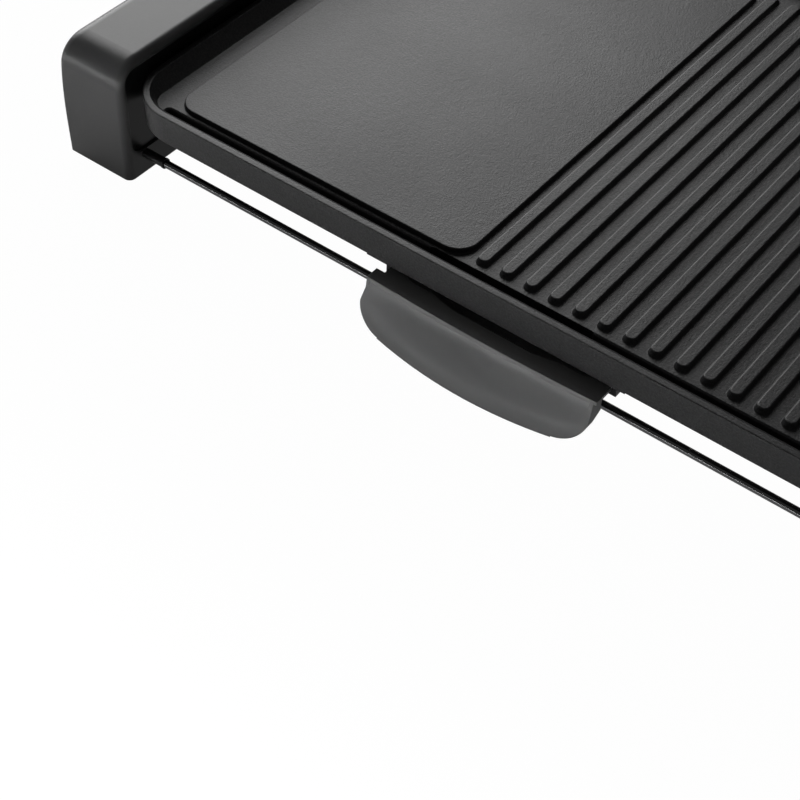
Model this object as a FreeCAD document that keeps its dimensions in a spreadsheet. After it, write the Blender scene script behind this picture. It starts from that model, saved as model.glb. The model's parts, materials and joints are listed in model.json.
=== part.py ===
"""Electric table grill with a pull-out drip tray, as a parametric assembly.

Row frame: +X along the grill, -Y towards the user, +Z up, table surface at Z = 0,
origin under the middle of the whole object. All lengths are in millimetres.
"""
import FreeCAD, Part
import math
import os

import Sketcher
from FreeCAD import Placement, Rotation, Vector

DOC = FreeCAD.newDocument("table_grill")
SHEET = DOC.addObject("Spreadsheet::Sheet", "Sizes")

# Driving dimensions: alias and value, in millimetres unless the name says otherwise.
SIZES = {
    # cast grill plate
    "plate_length": 476.0,
    "plate_depth": 320.0,
    "plate_height": 16.5,
    "plate_corner_top": 30.0,
    "plate_corner_bottom": 31.0,
    "rim_width": 3.6,
    "rim_bevel": 0.7,
    "pan_depth": 7.2,
    "pan_wall_run": 7.4,
    "pan_floor_corner": 10.0,
    "plate_thickness": 6.0,
    "skirt_thickness": 4.5,
    "relief_height": 2.8,
    "relief_rounding": 0.6,
    "plateau_margin_side": 24.0,
    "plateau_margin_front": 16.9,
    "plateau_end": 28.8,
    "plateau_corner": 12.0,
    "plateau_edge_run": 0.5,
    "rib_pitch": 13.72,
    "rib_top_width": 5.6,
    "rib_side_run": 1.0,
    "rib_end_run": 2.0,
    "rib_count": 18,
    "rib_start_gap": 4.5,
    "rib_end_margin": 17.9,
    "groove_setback": 9.6,
    "groove_width": 4.8,
    "groove_depth": 3.6,
    "groove_side_margin": 21.5,
    "groove_shoulder": 0.9,
    "slot_length": 95.0,
    "slot_width": 5.8,
    "spout_wall": 1.6,
    "spout_drop": 2.0,
    "front_lip_length": 148.0,
    "front_lip_drop": 0.8,
    # heating element
    "element_diameter": 7.0,
    "element_depth": 2.0,
    "element_bend_radius": 36.0,
    "element_left_reach": 201.0,
    "element_right_reach": 130.0,
    "element_leg_offset": 108.0,
    "element_sheath_reach": 3.0,
    "element_pin_reach": 16.0,
    "element_pin_radius": 1.5,
    # end housings
    "housing_width": 45.0,
    "housing_height": 74.25,
    "housing_gap": 0.2,
    "housing_setback": 1.3,
    "housing_wall": 2.5,
    "housing_end_radius": 16.0,
    "housing_top_radius": 9.0,
    "housing_shoulder_radius": 4.0,
    "housing_foot_radius": 1.6,
    "housing_inner_radius": 4.0,
    "rim_below_housing": 13.75,
    "panel_margin": 4.5,
    "panel_top_margin": 5.8,
    "panel_bottom_margin": 15.0,
    "panel_corner": 7.5,
    "panel_back_corner": 12.0,
    "panel_recess": 1.5,
    "panel_thickness": 2.0,
    "panel_overlap": 1.6,
    "panel_clearance": 0.2,
    "base_thickness": 3.0,
    "base_clearance": 0.25,
    "boss_radius": 4.0,
    "boss_height": 12.5,
    "boss_overlap": 0.8,
    "boss_offset": 24.0,
    "boss_spread": 60.0,
    # feet
    "foot_height": 3.0,
    "foot_radius": 7.0,
    "foot_stem_radius": 2.2,
    "foot_inset": 30.0,
    "foot_head_radius": 3.4,
    "foot_head_height": 1.5,
    # rods and bushes
    "rod_diameter": 4.4,
    "rod_height": 14.8,
    "rod_inset": 15.1,
    "bush_length": 14.6,
    "bush_wall": 0.6,
    "bush_collar": 0.25,
    "bush_collar_length": 1.2,
    "rod_socket_depth": 15.0,
    "rod_socket_wall": 2.4,
    "hole_clearance": 0.15,
    "running_clearance": 0.1,
    # plate brackets
    "bracket_spacing": 180.0,
    "bracket_width": 18.0,
    "bracket_thickness": 1.6,
    "bracket_inboard": 24.0,
    "bracket_leg": 16.0,
    "bracket_skirt_gap": 0.9,
    "bracket_slot_clearance": 0.6,
    "bracket_boss_radius": 6.0,
    "bracket_boss_depth": 6.0,
    "bracket_screw_offset": 9.0,
    "screw_radius": 1.5,
    "screw_head_radius": 3.0,
    "screw_head_height": 1.8,
    "screw_grip": 3.2,
    # drip tray
    "tray_width": 128.0,
    "tray_rim_drop": 24.75,
    "tray_flange_thickness": 2.0,
    "tray_wall": 1.8,
    "tray_floor_wall": 1.6,
    "tray_rim_inset": 7.6,
    "tray_floor_inset": 18.4,
    "tray_ledge_inset": 14.5,
    "tray_ledge_width": 2.6,
    "tray_ledge_drop": 11.2,
    "tray_front_offset": 4.5,
    "tray_back_reach": 162.6,
    "tray_ledge_front_run": 6.5,
    "tray_ledge_back_run": 5.5,
    "tray_floor_front_run": 11.0,
    "tray_floor_back_run": 17.4,
    "tray_corner": 8.0,
    "flange_reach": 142.0,
    "flange_chamfer": 7.0,
    "scoop_half_width": 36.0,
    "scoop_bulge": 5.0,
    "scoop_floor_bulge": 4.0,
    "scoop_wall": 5.0,
    "scoop_floor_spread": 7.0,
    "crease_end": 6.0,
    "crease_middle": 7.6,
    "apron_bulge_end": 7.0,
    "apron_bulge_middle": 14.3,
    "apron_drop_end": 24.5,
    "apron_drop_middle": 26.0,
    "apron_centre": -3.2,
    "apron_half_width": 65.8,
    "apron_side_flare": 1.4,
    "apron_step": 0.3,
    "apron_lip": 2.4,
    "apron_thickness": 2.2,
    "apron_corner": 16.0,
    "return_depth": 7.5,
    "return_height": 12.0,
    "return_reach": 6.0,
    "return_drop": 18.5,
    "tray_clearance": 0.3,
    # tray runners
    "runner_wall": 2.4,
    "runner_lip": 3.6,
    "runner_setback": 4.8,
    "runner_lug_width": 11.0,
    "runner_lug_below_rod": 4.4,
    "runner_ear_setback": 34.0,
    "runner_ear_reach": 10.0,
    "runner_boss_radius": 4.5,
    # controls on the right housing
    "knob_below_top": 42.25,
    "knob_radius": 13.5,
    "knob_depth": 15.0,
    "knob_wall": 2.2,
    "dial_radius": 15.5,
    "dial_thickness": 1.0,
    "knob_gap": 0.4,
    "shaft_radius": 3.0,
    "bushing_radius": 4.6,
    "nut_width": 12.6,
    "nut_thickness": 2.6,
    "thermostat_width": 26.0,
    "thermostat_depth": 26.0,
    "thermostat_height": 30.4,
    "lamp_below_top": 21.25,
    "lamp_radius": 3.2,
    "lamp_flange": 4.4,
    "lamp_body_length": 18.0,
    # electrical parts
    "block_width": 18.0,
    "block_length": 42.0,
    "block_height": 14.0,
    "block_lead_height": 9.8,
    "inlet_height": 36.0,
    "inlet_width": 30.0,
    "inlet_flange_height": 28.0,
    "inlet_flange_thickness": 1.2,
    "inlet_body_depth": 24.0,
    "inlet_mouth_width": 24.4,
    "inlet_mouth_height": 16.8,
    "inlet_mouth_depth": 17.0,
    "pin_width": 4.0,
    "pin_thickness": 2.0,
    "pin_length": 14.0,
    "pin_spacing": 7.0,
    "lead_radius": 1.3,
    "bulb_radius": 2.4,
    "bulb_length": 70.0,
    "capillary_radius": 0.9,
    "fuse_radius": 2.4,
    "fuse_length": 13.0,
    "screw_spare_depth": 0.5,
    "bulb_gap": 0.2,
    "bulb_offset": 15.0,
    "clip_width": 12.0,
    "capillary_bend": 4.0,
    "inlet_body_width": 27.6,
    "inlet_body_height": 20.0,
    "return_lean": 2.0,
    "knob_edge_radius": 1.4,
    "pointer_width": 1.6,
    "pointer_depth": 0.6,
    "lamp_flange_thickness": 1.2,
    "block_ear": 8.0,
    "block_ear_height": 4.0,
    "block_screw_grip": 2.4,
    "lead_spread": 5.0,
    "lead_run": 19.0,
    "lead_bend": 4.0,
}


class Size:
    """A number together with the expression that binds it to the sheet."""

    def __init__(self, value, text):
        self.value = value
        self.text = text

    @staticmethod
    def lift(other):
        return other if isinstance(other, Size) else Size(float(other), repr(float(other)))

    def join(self, other, value, sign):
        return Size(value, f"({self.text} {sign} {other.text})")

    def __add__(self, other):
        other = Size.lift(other)
        return self.join(other, self.value + other.value, "+")

    def __sub__(self, other):
        other = Size.lift(other)
        return self.join(other, self.value - other.value, "-")

    def __mul__(self, other):
        other = Size.lift(other)
        return self.join(other, self.value * other.value, "*")

    def __truediv__(self, other):
        other = Size.lift(other)
        return self.join(other, self.value / other.value, "/")

    def __radd__(self, other):
        return Size.lift(other) + self

    def __rsub__(self, other):
        return Size.lift(other) - self

    def __rmul__(self, other):
        return Size.lift(other) * self

    def __neg__(self):
        return self * -1.0

    def __float__(self):
        return float(self.value)


class Sizes:
    """Gives each aliased cell of the sheet as a Size."""

    def __init__(self, table):
        for row, (alias, value) in enumerate(table.items(), start=1):
            cell = f"B{row}"
            SHEET.set(f"A{row}", alias)
            SHEET.set(cell, str(value))
            SHEET.setAlias(cell, alias)
        DOC.recompute()
        for alias in table:
            setattr(self, alias, Size(float(SHEET.get(alias)), f"Sizes.{alias}"))


s = Sizes(SIZES)

# ---------------------------------------------------------------- shared places
ZERO = Size.lift(0.0)
HALF_LENGTH = s.plate_length / 2
TRAY_REACH = s.crease_middle + s.apron_bulge_middle
FRONT = (TRAY_REACH - s.plate_depth) / 2                 # front face of the plate
BACK = FRONT + s.plate_depth
MIDDLE = FRONT + s.plate_depth / 2
RIM = s.foot_height + s.housing_height - s.rim_below_housing
PLATE_BOTTOM = RIM - s.plate_height
PAN_FLOOR = RIM - s.pan_depth
UNDERSIDE = PAN_FLOOR - s.plate_thickness
RELIEF_TOP = PAN_FLOOR + s.relief_height
HOUSING_INNER = HALF_LENGTH + s.housing_gap              # distance of the inner faces from X = 0
HOUSING_OUTER = HOUSING_INNER + s.housing_width
HOUSING_MIDDLE = HOUSING_INNER + s.housing_width / 2
HOUSING_FRONT = FRONT + s.housing_setback
HOUSING_BACK = BACK - s.housing_setback
HOUSING_BOTTOM = s.foot_height
HOUSING_TOP = s.foot_height + s.housing_height
KNOB_Z = HOUSING_TOP - s.knob_below_top
LAMP_Z = HOUSING_TOP - s.lamp_below_top
PANEL_FACE = HOUSING_INNER + s.panel_recess
PANEL_SEAT = HOUSING_INNER + s.housing_wall              # back of the housing's inner wall
PANEL_BACK = PANEL_SEAT + s.panel_thickness
BASE_TOP = HOUSING_BOTTOM + s.base_thickness
ROD_RADIUS = s.rod_diameter / 2
ROD_FRONT = FRONT + s.rod_inset
ROD_BACK = BACK - s.rod_inset
BRACKET_TOP = PLATE_BOTTOM - s.bracket_skirt_gap
BRACKET_BOTTOM = BRACKET_TOP - s.bracket_thickness
TRAY_RIM = RIM - s.tray_rim_drop
TRAY_HALF = s.tray_width / 2
FLANGE_BOTTOM = TRAY_RIM - s.tray_flange_thickness
RUNNER_INNER = TRAY_HALF + s.tray_clearance              # inside of a runner's web
RUNNER_OUTER = RUNNER_INNER + s.runner_wall
RUNNER_TOP = TRAY_RIM + s.tray_clearance + s.runner_wall
RUNNER_EAR = (RUNNER_OUTER + s.runner_ear_reach / 2, FRONT + s.runner_ear_setback)
SIDES = {"left": -1, "right": 1}
ROD_ENDS = {"front": ROD_FRONT, "rear": ROD_BACK}
BRACKET_ENDS = {"front": MIDDLE - s.bracket_spacing / 2, "rear": MIDDLE + s.bracket_spacing / 2}
ALONG = {
    "x": Rotation(Vector(0, 1, 0), 90),
    "y": Rotation(Vector(1, 0, 0), -90),
    "z": Rotation(),
}
NODES = []


# ---------------------------------------------------------------- helpers
def bind(item, prop, size):
    """Bind a property to the sheet through the size's expression."""
    item.setExpression(prop, Size.lift(size).text)


def place(item, corner, axis="z"):
    """Place a primitive with its own Z turned to the axis and its base bound to the sheet."""
    item.Placement = Placement(Vector(*[float(value) for value in corner]), ALONG[axis])
    for letter, value in zip("xyz", corner):
        bind(item, f".Placement.Base.{letter}", value)


def node(item, label):
    """Make the item a sub-part with a label of its own."""
    item.Label = label
    NODES.append(item)
    return item


def box(name, x_span, y_span, z_span):
    """A block between two bound coordinates along each axis."""
    item = DOC.addObject("Part::Box", name)
    place(item, (x_span[0], y_span[0], z_span[0]))
    for prop, span in zip(("Length", "Width", "Height"), (x_span, y_span, z_span)):
        bind(item, prop, span[1] - span[0])
    return item


def cylinder(name, base, axis, radius, length):
    """A cylinder from its base point along a positive axis."""
    item = DOC.addObject("Part::Cylinder", name)
    place(item, base, axis)
    bind(item, "Radius", radius)
    bind(item, "Height", length)
    return item


def prism(name, base, axis, circumradius, length):
    """A hexagonal prism, as a nut, from its base point along a positive axis."""
    item = DOC.addObject("Part::Prism", name)
    item.Polygon = 6
    place(item, base, axis)
    bind(item, "Circumradius", circumradius)
    bind(item, "Height", length)
    return item


def fuse(name, parts):
    item = DOC.addObject("Part::MultiFuse", name)
    item.Shapes = parts
    return item


def cut(name, base, tools):
    item = DOC.addObject("Part::Cut", name)
    item.Base = base
    item.Tool = tools[0] if len(tools) == 1 else fuse(name + "_tools", tools)
    return item


def group(name, parts):
    """Separate solids kept together as one sub-part."""
    item = DOC.addObject("Part::Compound", name)
    item.Links = parts
    return item


def mirrored_span(side, near, far):
    """The X span between two distances from the middle, on one side of the grill."""
    return (near, far) if side > 0 else (-far, -near)


# Sketch planes: role, the axis across them and the sign of the sketch's normal on that axis.
PLANES = {"XY": ("XY_Plane", 1), "XZ": ("XZ_Plane", -1), "YZ": ("YZ_Plane", 1)}


class Body:
    """A PartDesign body whose sketches and features are bound to the sheet."""

    def __init__(self, name):
        self.body = DOC.addObject("PartDesign::Body", name)
        self.count = 0

    def name(self, kind):
        self.count += 1
        return f"{self.body.Name}_{kind}_{self.count}"

    def sketch(self, plane, level):
        """A sketch on an origin plane, moved to a level along the plane's world axis."""
        role, sign = PLANES[plane]
        sketch = self.body.newObject("Sketcher::SketchObject", self.name("sketch"))
        origin = [part for part in self.body.Origin.OriginFeatures if part.Role == role][0]
        sketch.AttachmentSupport = [(origin, "")]
        sketch.MapMode = "FlatFace"
        bind(sketch, ".AttachmentOffset.Base.z", Size.lift(level) * sign)
        return sketch

    def extrude(self, kind, plane, outline, span):
        """Pad or Pocket an outline between two levels along the plane's world axis."""
        sign = PLANES[plane][1]
        sketch = self.sketch(plane, span[0] if sign > 0 else span[1])
        outline(sketch)
        feature = self.body.newObject(f"PartDesign::{kind}", self.name(kind))
        feature.Profile = sketch
        bind(feature, "Length", span[1] - span[0])
        feature.Reversed = kind == "Pocket"
        sketch.Visibility = False
        return feature

    def pad(self, plane, outline, span):
        return self.extrude("Pad", plane, outline, span)

    def pocket(self, plane, outline, span):
        """Cut the outline, and check that material went away."""
        DOC.recompute()
        before = self.body.Shape.Volume
        feature = self.extrude("Pocket", plane, outline, span)
        DOC.recompute()
        if self.body.Shape.Volume >= before:
            raise RuntimeError(f"{feature.Name} cut nothing")
        return feature

    def loft(self, kind, plane, levels, outlines):
        """AdditiveLoft or SubtractiveLoft, ruled between outlines on parallel planes."""
        sketches = []
        for level, outline in zip(levels, outlines):
            sketch = self.sketch(plane, level)
            outline(sketch)
            sketches.append(sketch)
        feature = self.body.newObject(f"PartDesign::{kind}", self.name(kind))
        feature.Profile = sketches[0]
        feature.Sections = sketches[1:]
        feature.Ruled = True
        return feature

    def linear_pattern(self, feature, length, count):
        """Repeat a feature along +X, over a length, a number of times."""
        pattern = self.body.newObject("PartDesign::LinearPattern", self.name("pattern"))
        pattern.Originals = [feature]
        axis = [part for part in self.body.Origin.OriginFeatures if part.Role == "X_Axis"][0]
        pattern.Direction = (axis, [""])
        bind(pattern, "Length", length)
        bind(pattern, "Occurrences", count)
        self.body.Tip = pattern
        return pattern

    def dress(self, kind, radius, wanted):
        """Fillet or Chamfer the edges of the body for which wanted(edge) holds."""
        DOC.recompute()
        tip = self.body.Tip
        names = [f"Edge{i + 1}" for i, edge in enumerate(tip.Shape.Edges) if wanted(edge)]
        feature = self.body.newObject(f"PartDesign::{kind}", self.name(kind))
        feature.Base = (tip, names)
        bind(feature, "Radius" if kind == "Fillet" else "Size", radius)
        return feature


# ---------------------------------------------------------------- sketch outlines
def fix_point(sketch, geometry, point, u=None, v=None):
    """Bind a point's sketch coordinates to the sheet."""
    for kind, value in (("DistanceX", u), ("DistanceY", v)):
        if value is not None:
            index = sketch.addConstraint(Sketcher.Constraint(kind, -1, 1, geometry, point, float(value)))
            bind(sketch, f"Constraints[{index}]", value)


def fix_radius(sketch, geometry, radius):
    index = sketch.addConstraint(Sketcher.Constraint("Radius", geometry, float(radius)))
    bind(sketch, f"Constraints[{index}]", radius)


def arc(sketch, u, v, radius, start, end):
    """Add an arc by centre, radius and angles in degrees; return its two ends."""
    whole = Part.Circle(Vector(float(u), float(v), 0), Vector(0, 0, 1), float(radius))
    piece = Part.ArcOfCircle(whole, math.radians(start), math.radians(end))
    sketch.addGeometry(piece)
    return piece.StartPoint, piece.EndPoint


def join(sketch, kind, pairs):
    """Coincident or Tangent joints from the end of one piece to the start of the next."""
    for first, second in pairs:
        sketch.addConstraint(Sketcher.Constraint(kind, first, 2, second, 1))


def polygon(points):
    """Closed outline of straight lines."""

    def draw(sketch):
        corners = [Vector(float(u), float(v), 0) for u, v in points]
        count = len(corners)
        for i in range(count):
            sketch.addGeometry(Part.LineSegment(corners[i], corners[(i + 1) % count]))
        join(sketch, "Coincident", [(i, (i + 1) % count) for i in range(count)])
        for i, (u, v) in enumerate(points):
            fix_point(sketch, i, 1, u, v)

    return draw


def rectangle(u_span, v_span):
    (u0, u1), (v0, v1) = u_span, v_span
    return polygon([(u0, v0), (u1, v0), (u1, v1), (u0, v1)])


def rounded(u_span, v_span, radius):
    """Rectangle with four rounded corners."""

    def draw(sketch):
        (u0, u1), (v0, v1) = u_span, v_span
        r = radius
        ends = [
            arc(sketch, u1 - r, v0 + r, r, -90, 0),
            arc(sketch, u1 - r, v1 - r, r, 0, 90),
            arc(sketch, u0 + r, v1 - r, r, 90, 180),
            arc(sketch, u0 + r, v0 + r, r, 180, 270),
        ]
        for i in range(4):
            sketch.addGeometry(Part.LineSegment(ends[i][1], ends[(i + 1) % 4][0]))
        join(sketch, "Tangent", [(i, 4 + i) for i in range(4)])
        join(sketch, "Tangent", [(4 + i, (i + 1) % 4) for i in range(4)])
        for i, kind in enumerate(("Vertical", "Horizontal", "Vertical", "Horizontal")):
            sketch.addConstraint(Sketcher.Constraint(kind, 4 + i))
        for i in (1, 2, 3):
            sketch.addConstraint(Sketcher.Constraint("Equal", 0, i))
        fix_radius(sketch, 0, r)
        fix_point(sketch, 4, 1, u=u1)
        fix_point(sketch, 6, 1, u=u0)
        fix_point(sketch, 5, 1, v=v1)
        fix_point(sketch, 7, 1, v=v0)

    return draw


def slot(u_span, v_span, along="v"):
    """Slot with half-round ends, long along u or v."""

    def draw(sketch):
        (u0, u1), (v0, v1) = u_span, v_span
        if along == "v":
            r = (u1 - u0) / 2
            centres = [(u0 + r, v0 + r), (u0 + r, v1 - r)]
            start, line = 180, "Vertical"
        else:
            r = (v1 - v0) / 2
            centres = [(u1 - r, v0 + r), (u0 + r, v0 + r)]
            start, line = 270, "Horizontal"
        first = arc(sketch, *centres[0], r, start, start + 180)
        second = arc(sketch, *centres[1], r, start - 180, start)
        sketch.addGeometry(Part.LineSegment(first[1], second[0]))
        sketch.addGeometry(Part.LineSegment(second[1], first[0]))
        join(sketch, "Tangent", [(0, 2), (2, 1), (1, 3), (3, 0)])
        sketch.addConstraint(Sketcher.Constraint(line, 2))
        sketch.addConstraint(Sketcher.Constraint(line, 3))
        fix_radius(sketch, 0, r)
        fix_point(sketch, 0, 3, *centres[0])
        if along == "v":
            fix_point(sketch, 1, 3, v=centres[1][1])
        else:
            fix_point(sketch, 1, 3, u=centres[1][0])

    return draw


def circle(u, v, radius):
    def draw(sketch):
        sketch.addGeometry(Part.Circle(Vector(float(u), float(v), 0), Vector(0, 0, 1), float(radius)))
        fix_radius(sketch, 0, radius)
        fix_point(sketch, 0, 3, u, v)

    return draw


def arch(u_span, v_span, left_radius, right_radius):
    """Outline with a flat foot and a rounded corner at each end of its top."""

    def draw(sketch):
        (u0, u1), (v0, v1) = u_span, v_span
        foot_left = Vector(float(u0), float(v0), 0)
        foot_right = Vector(float(u1), float(v0), 0)
        sketch.addGeometry(Part.LineSegment(foot_left, foot_right))
        shoulder = Vector(float(u1), float(v1 - right_radius), 0)
        sketch.addGeometry(Part.LineSegment(foot_right, shoulder))
        right = arc(sketch, u1 - right_radius, v1 - right_radius, right_radius, 0, 90)
        top_left = Vector(float(u0 + left_radius), float(v1), 0)
        sketch.addGeometry(Part.LineSegment(right[1], top_left))
        left = arc(sketch, u0 + left_radius, v1 - left_radius, left_radius, 90, 180)
        sketch.addGeometry(Part.LineSegment(left[1], foot_left))
        join(sketch, "Coincident", [(0, 1), (5, 0)])
        join(sketch, "Tangent", [(1, 2), (2, 3), (3, 4), (4, 5)])
        for kind, lines in (("Horizontal", (0, 3)), ("Vertical", (1, 5))):
            for line in lines:
                sketch.addConstraint(Sketcher.Constraint(kind, line))
        fix_radius(sketch, 2, right_radius)
        fix_radius(sketch, 4, left_radius)
        fix_point(sketch, 0, 1, u0, v0)
        fix_point(sketch, 1, 1, u=u1)
        fix_point(sketch, 3, 1, v=v1)

    return draw


# ---------------------------------------------------------------- edge pickers
def lies_at(edge, axis, level, tolerance=0.01):
    """True where the whole edge lies at one level on an axis."""
    box_ = edge.BoundBox
    low, high = getattr(box_, axis + "Min"), getattr(box_, axis + "Max")
    return abs(low - float(level)) < tolerance and abs(high - float(level)) < tolerance


# ---------------------------------------------------------------- tubes and leads
def route(points, bend):
    """A wire of straight runs joined by tangent arcs of one radius."""
    corners = [Vector(*[float(value) for value in point]) for point in points]
    bend = float(bend)
    edges = []
    here = corners[0]
    for before, corner, after in zip(corners, corners[1:], corners[2:]):
        inward = (before - corner).normalize()
        outward = (after - corner).normalize()
        half_turn = (math.pi - inward.getAngle(outward)) / 2
        setback = bend * math.tan(half_turn)
        start = corner + inward * setback
        end = corner + outward * setback
        bisector = (inward + outward).normalize()
        middle = corner + bisector * (bend / math.cos(half_turn) - bend)
        if (start - here).Length > 1e-4:
            edges.append(Part.LineSegment(here, start).toShape())
        edges.append(Part.Arc(start, middle, end).toShape())
        here = end
    edges.append(Part.LineSegment(here, corners[-1]).toShape())
    return Part.Wire(edges)


def tube(points, bend, radius):
    """A solid round rod or lead along a route."""
    path = route(points, bend)
    start = Vector(*[float(value) for value in points[0]])
    along = Vector(*[float(value) for value in points[1]]) - start
    profile = Part.Wire(Part.makeCircle(float(radius), start, along))
    return path.makePipeShell([profile], True, False)


def feature(name, shape):
    item = DOC.addObject("Part::Feature", name)
    item.Shape = shape
    return item


# ---------------------------------------------------------------- fasteners
def screw(name, head, axis, direction, length):
    """Pan-head screw: the head's bearing face is at head, the shank goes along direction."""
    offset = {"x": 0, "y": 1, "z": 2}[axis]
    shank_base = list(head)
    head_base = list(head)
    if direction < 0:
        shank_base[offset] = head[offset] - length
    else:
        head_base[offset] = head[offset] - s.screw_head_height
    shank = cylinder(name + "_shank", shank_base, axis, s.screw_radius, length)
    cap = cylinder(name + "_cap", head_base, axis, s.screw_head_radius, s.screw_head_height)
    return fuse(name, [shank, cap])


def outline(points):
    """Closed outline; a corner with a third value starts an arc that rises by it, outwards if positive.

    Such an arc stands on a side that is level in the sketch.
    """

    def draw(sketch):
        count = len(points)
        ends = []
        for i in range(count):
            u0, v0 = points[i][:2]
            u1, v1 = points[(i + 1) % count][:2]
            first = Vector(float(u0), float(v0), 0)
            last = Vector(float(u1), float(v1), 0)
            if len(points[i]) == 2:
                sketch.addGeometry(Part.LineSegment(first, last))
                ends.append((1, 2))
                continue
            rise = points[i][2]
            half = (u1 - u0) / 2
            size = abs(float(rise))
            radius = (float(half) ** 2 + size ** 2) / (2 * size)
            reach = math.degrees(math.asin(abs(float(half)) / radius))
            centre_v = float(v0) - float(rise) + math.copysign(radius, float(rise))
            middle = -90 if float(rise) > 0 else 90
            arc(sketch, float(u0 + half), centre_v, radius, middle - reach, middle + reach)
            ends.append((1, 2) if float(rise) > 0 else (2, 1))
        for i in range(count):
            following = (i + 1) % count
            joint = Sketcher.Constraint("Coincident", i, ends[i][1], following, ends[following][0])
            sketch.addConstraint(joint)
        for i, point in enumerate(points):
            fix_point(sketch, i, ends[i][0], point[0], point[1])
            if len(point) == 3:
                half = (points[(i + 1) % count][0] - point[0]) / 2
                sign = 1.0 if float(point[2]) > 0 else -1.0
                fix_radius(sketch, i, (half * half + point[2] * point[2]) / (point[2] * 2.0 * sign))

    return draw


# ---------------------------------------------------------------- cast plate and its heater
ELEMENT_RADIUS = s.element_diameter / 2
ELEMENT_AXIS = UNDERSIDE + s.element_depth - ELEMENT_RADIUS
SHEATH_END = PANEL_BACK + s.element_sheath_reach
PIN_END = HOUSING_INNER + s.element_pin_reach
ELEMENT_LEGS = {"front": MIDDLE - s.element_leg_offset, "rear": MIDDLE + s.element_leg_offset}
BRACKET_SCREW = HOUSING_INNER - s.bracket_inboard + s.bracket_screw_offset
SCREW_HOLE = s.screw_radius + s.hole_clearance
SCREW_DEPTH = s.screw_grip + s.screw_spare_depth
BULB_AXIS = UNDERSIDE - s.bulb_radius - s.bulb_gap
BULB_END = s.element_right_reach + s.bulb_offset + s.bulb_length
CLIP_START = BULB_END - s.bulb_length / 2 - s.clip_width / 2
CLIP_EDGE = s.bulb_radius + s.bulb_gap + s.bracket_thickness
CLIP_SCREW = (CLIP_START + s.clip_width / 2, MIDDLE + CLIP_EDGE + s.screw_head_radius + s.bulb_gap)


def inset(margin, corner):
    """The plate's outline moved inwards."""
    return rounded((margin - HALF_LENGTH, HALF_LENGTH - margin), (FRONT + margin, BACK - margin), corner)


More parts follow.
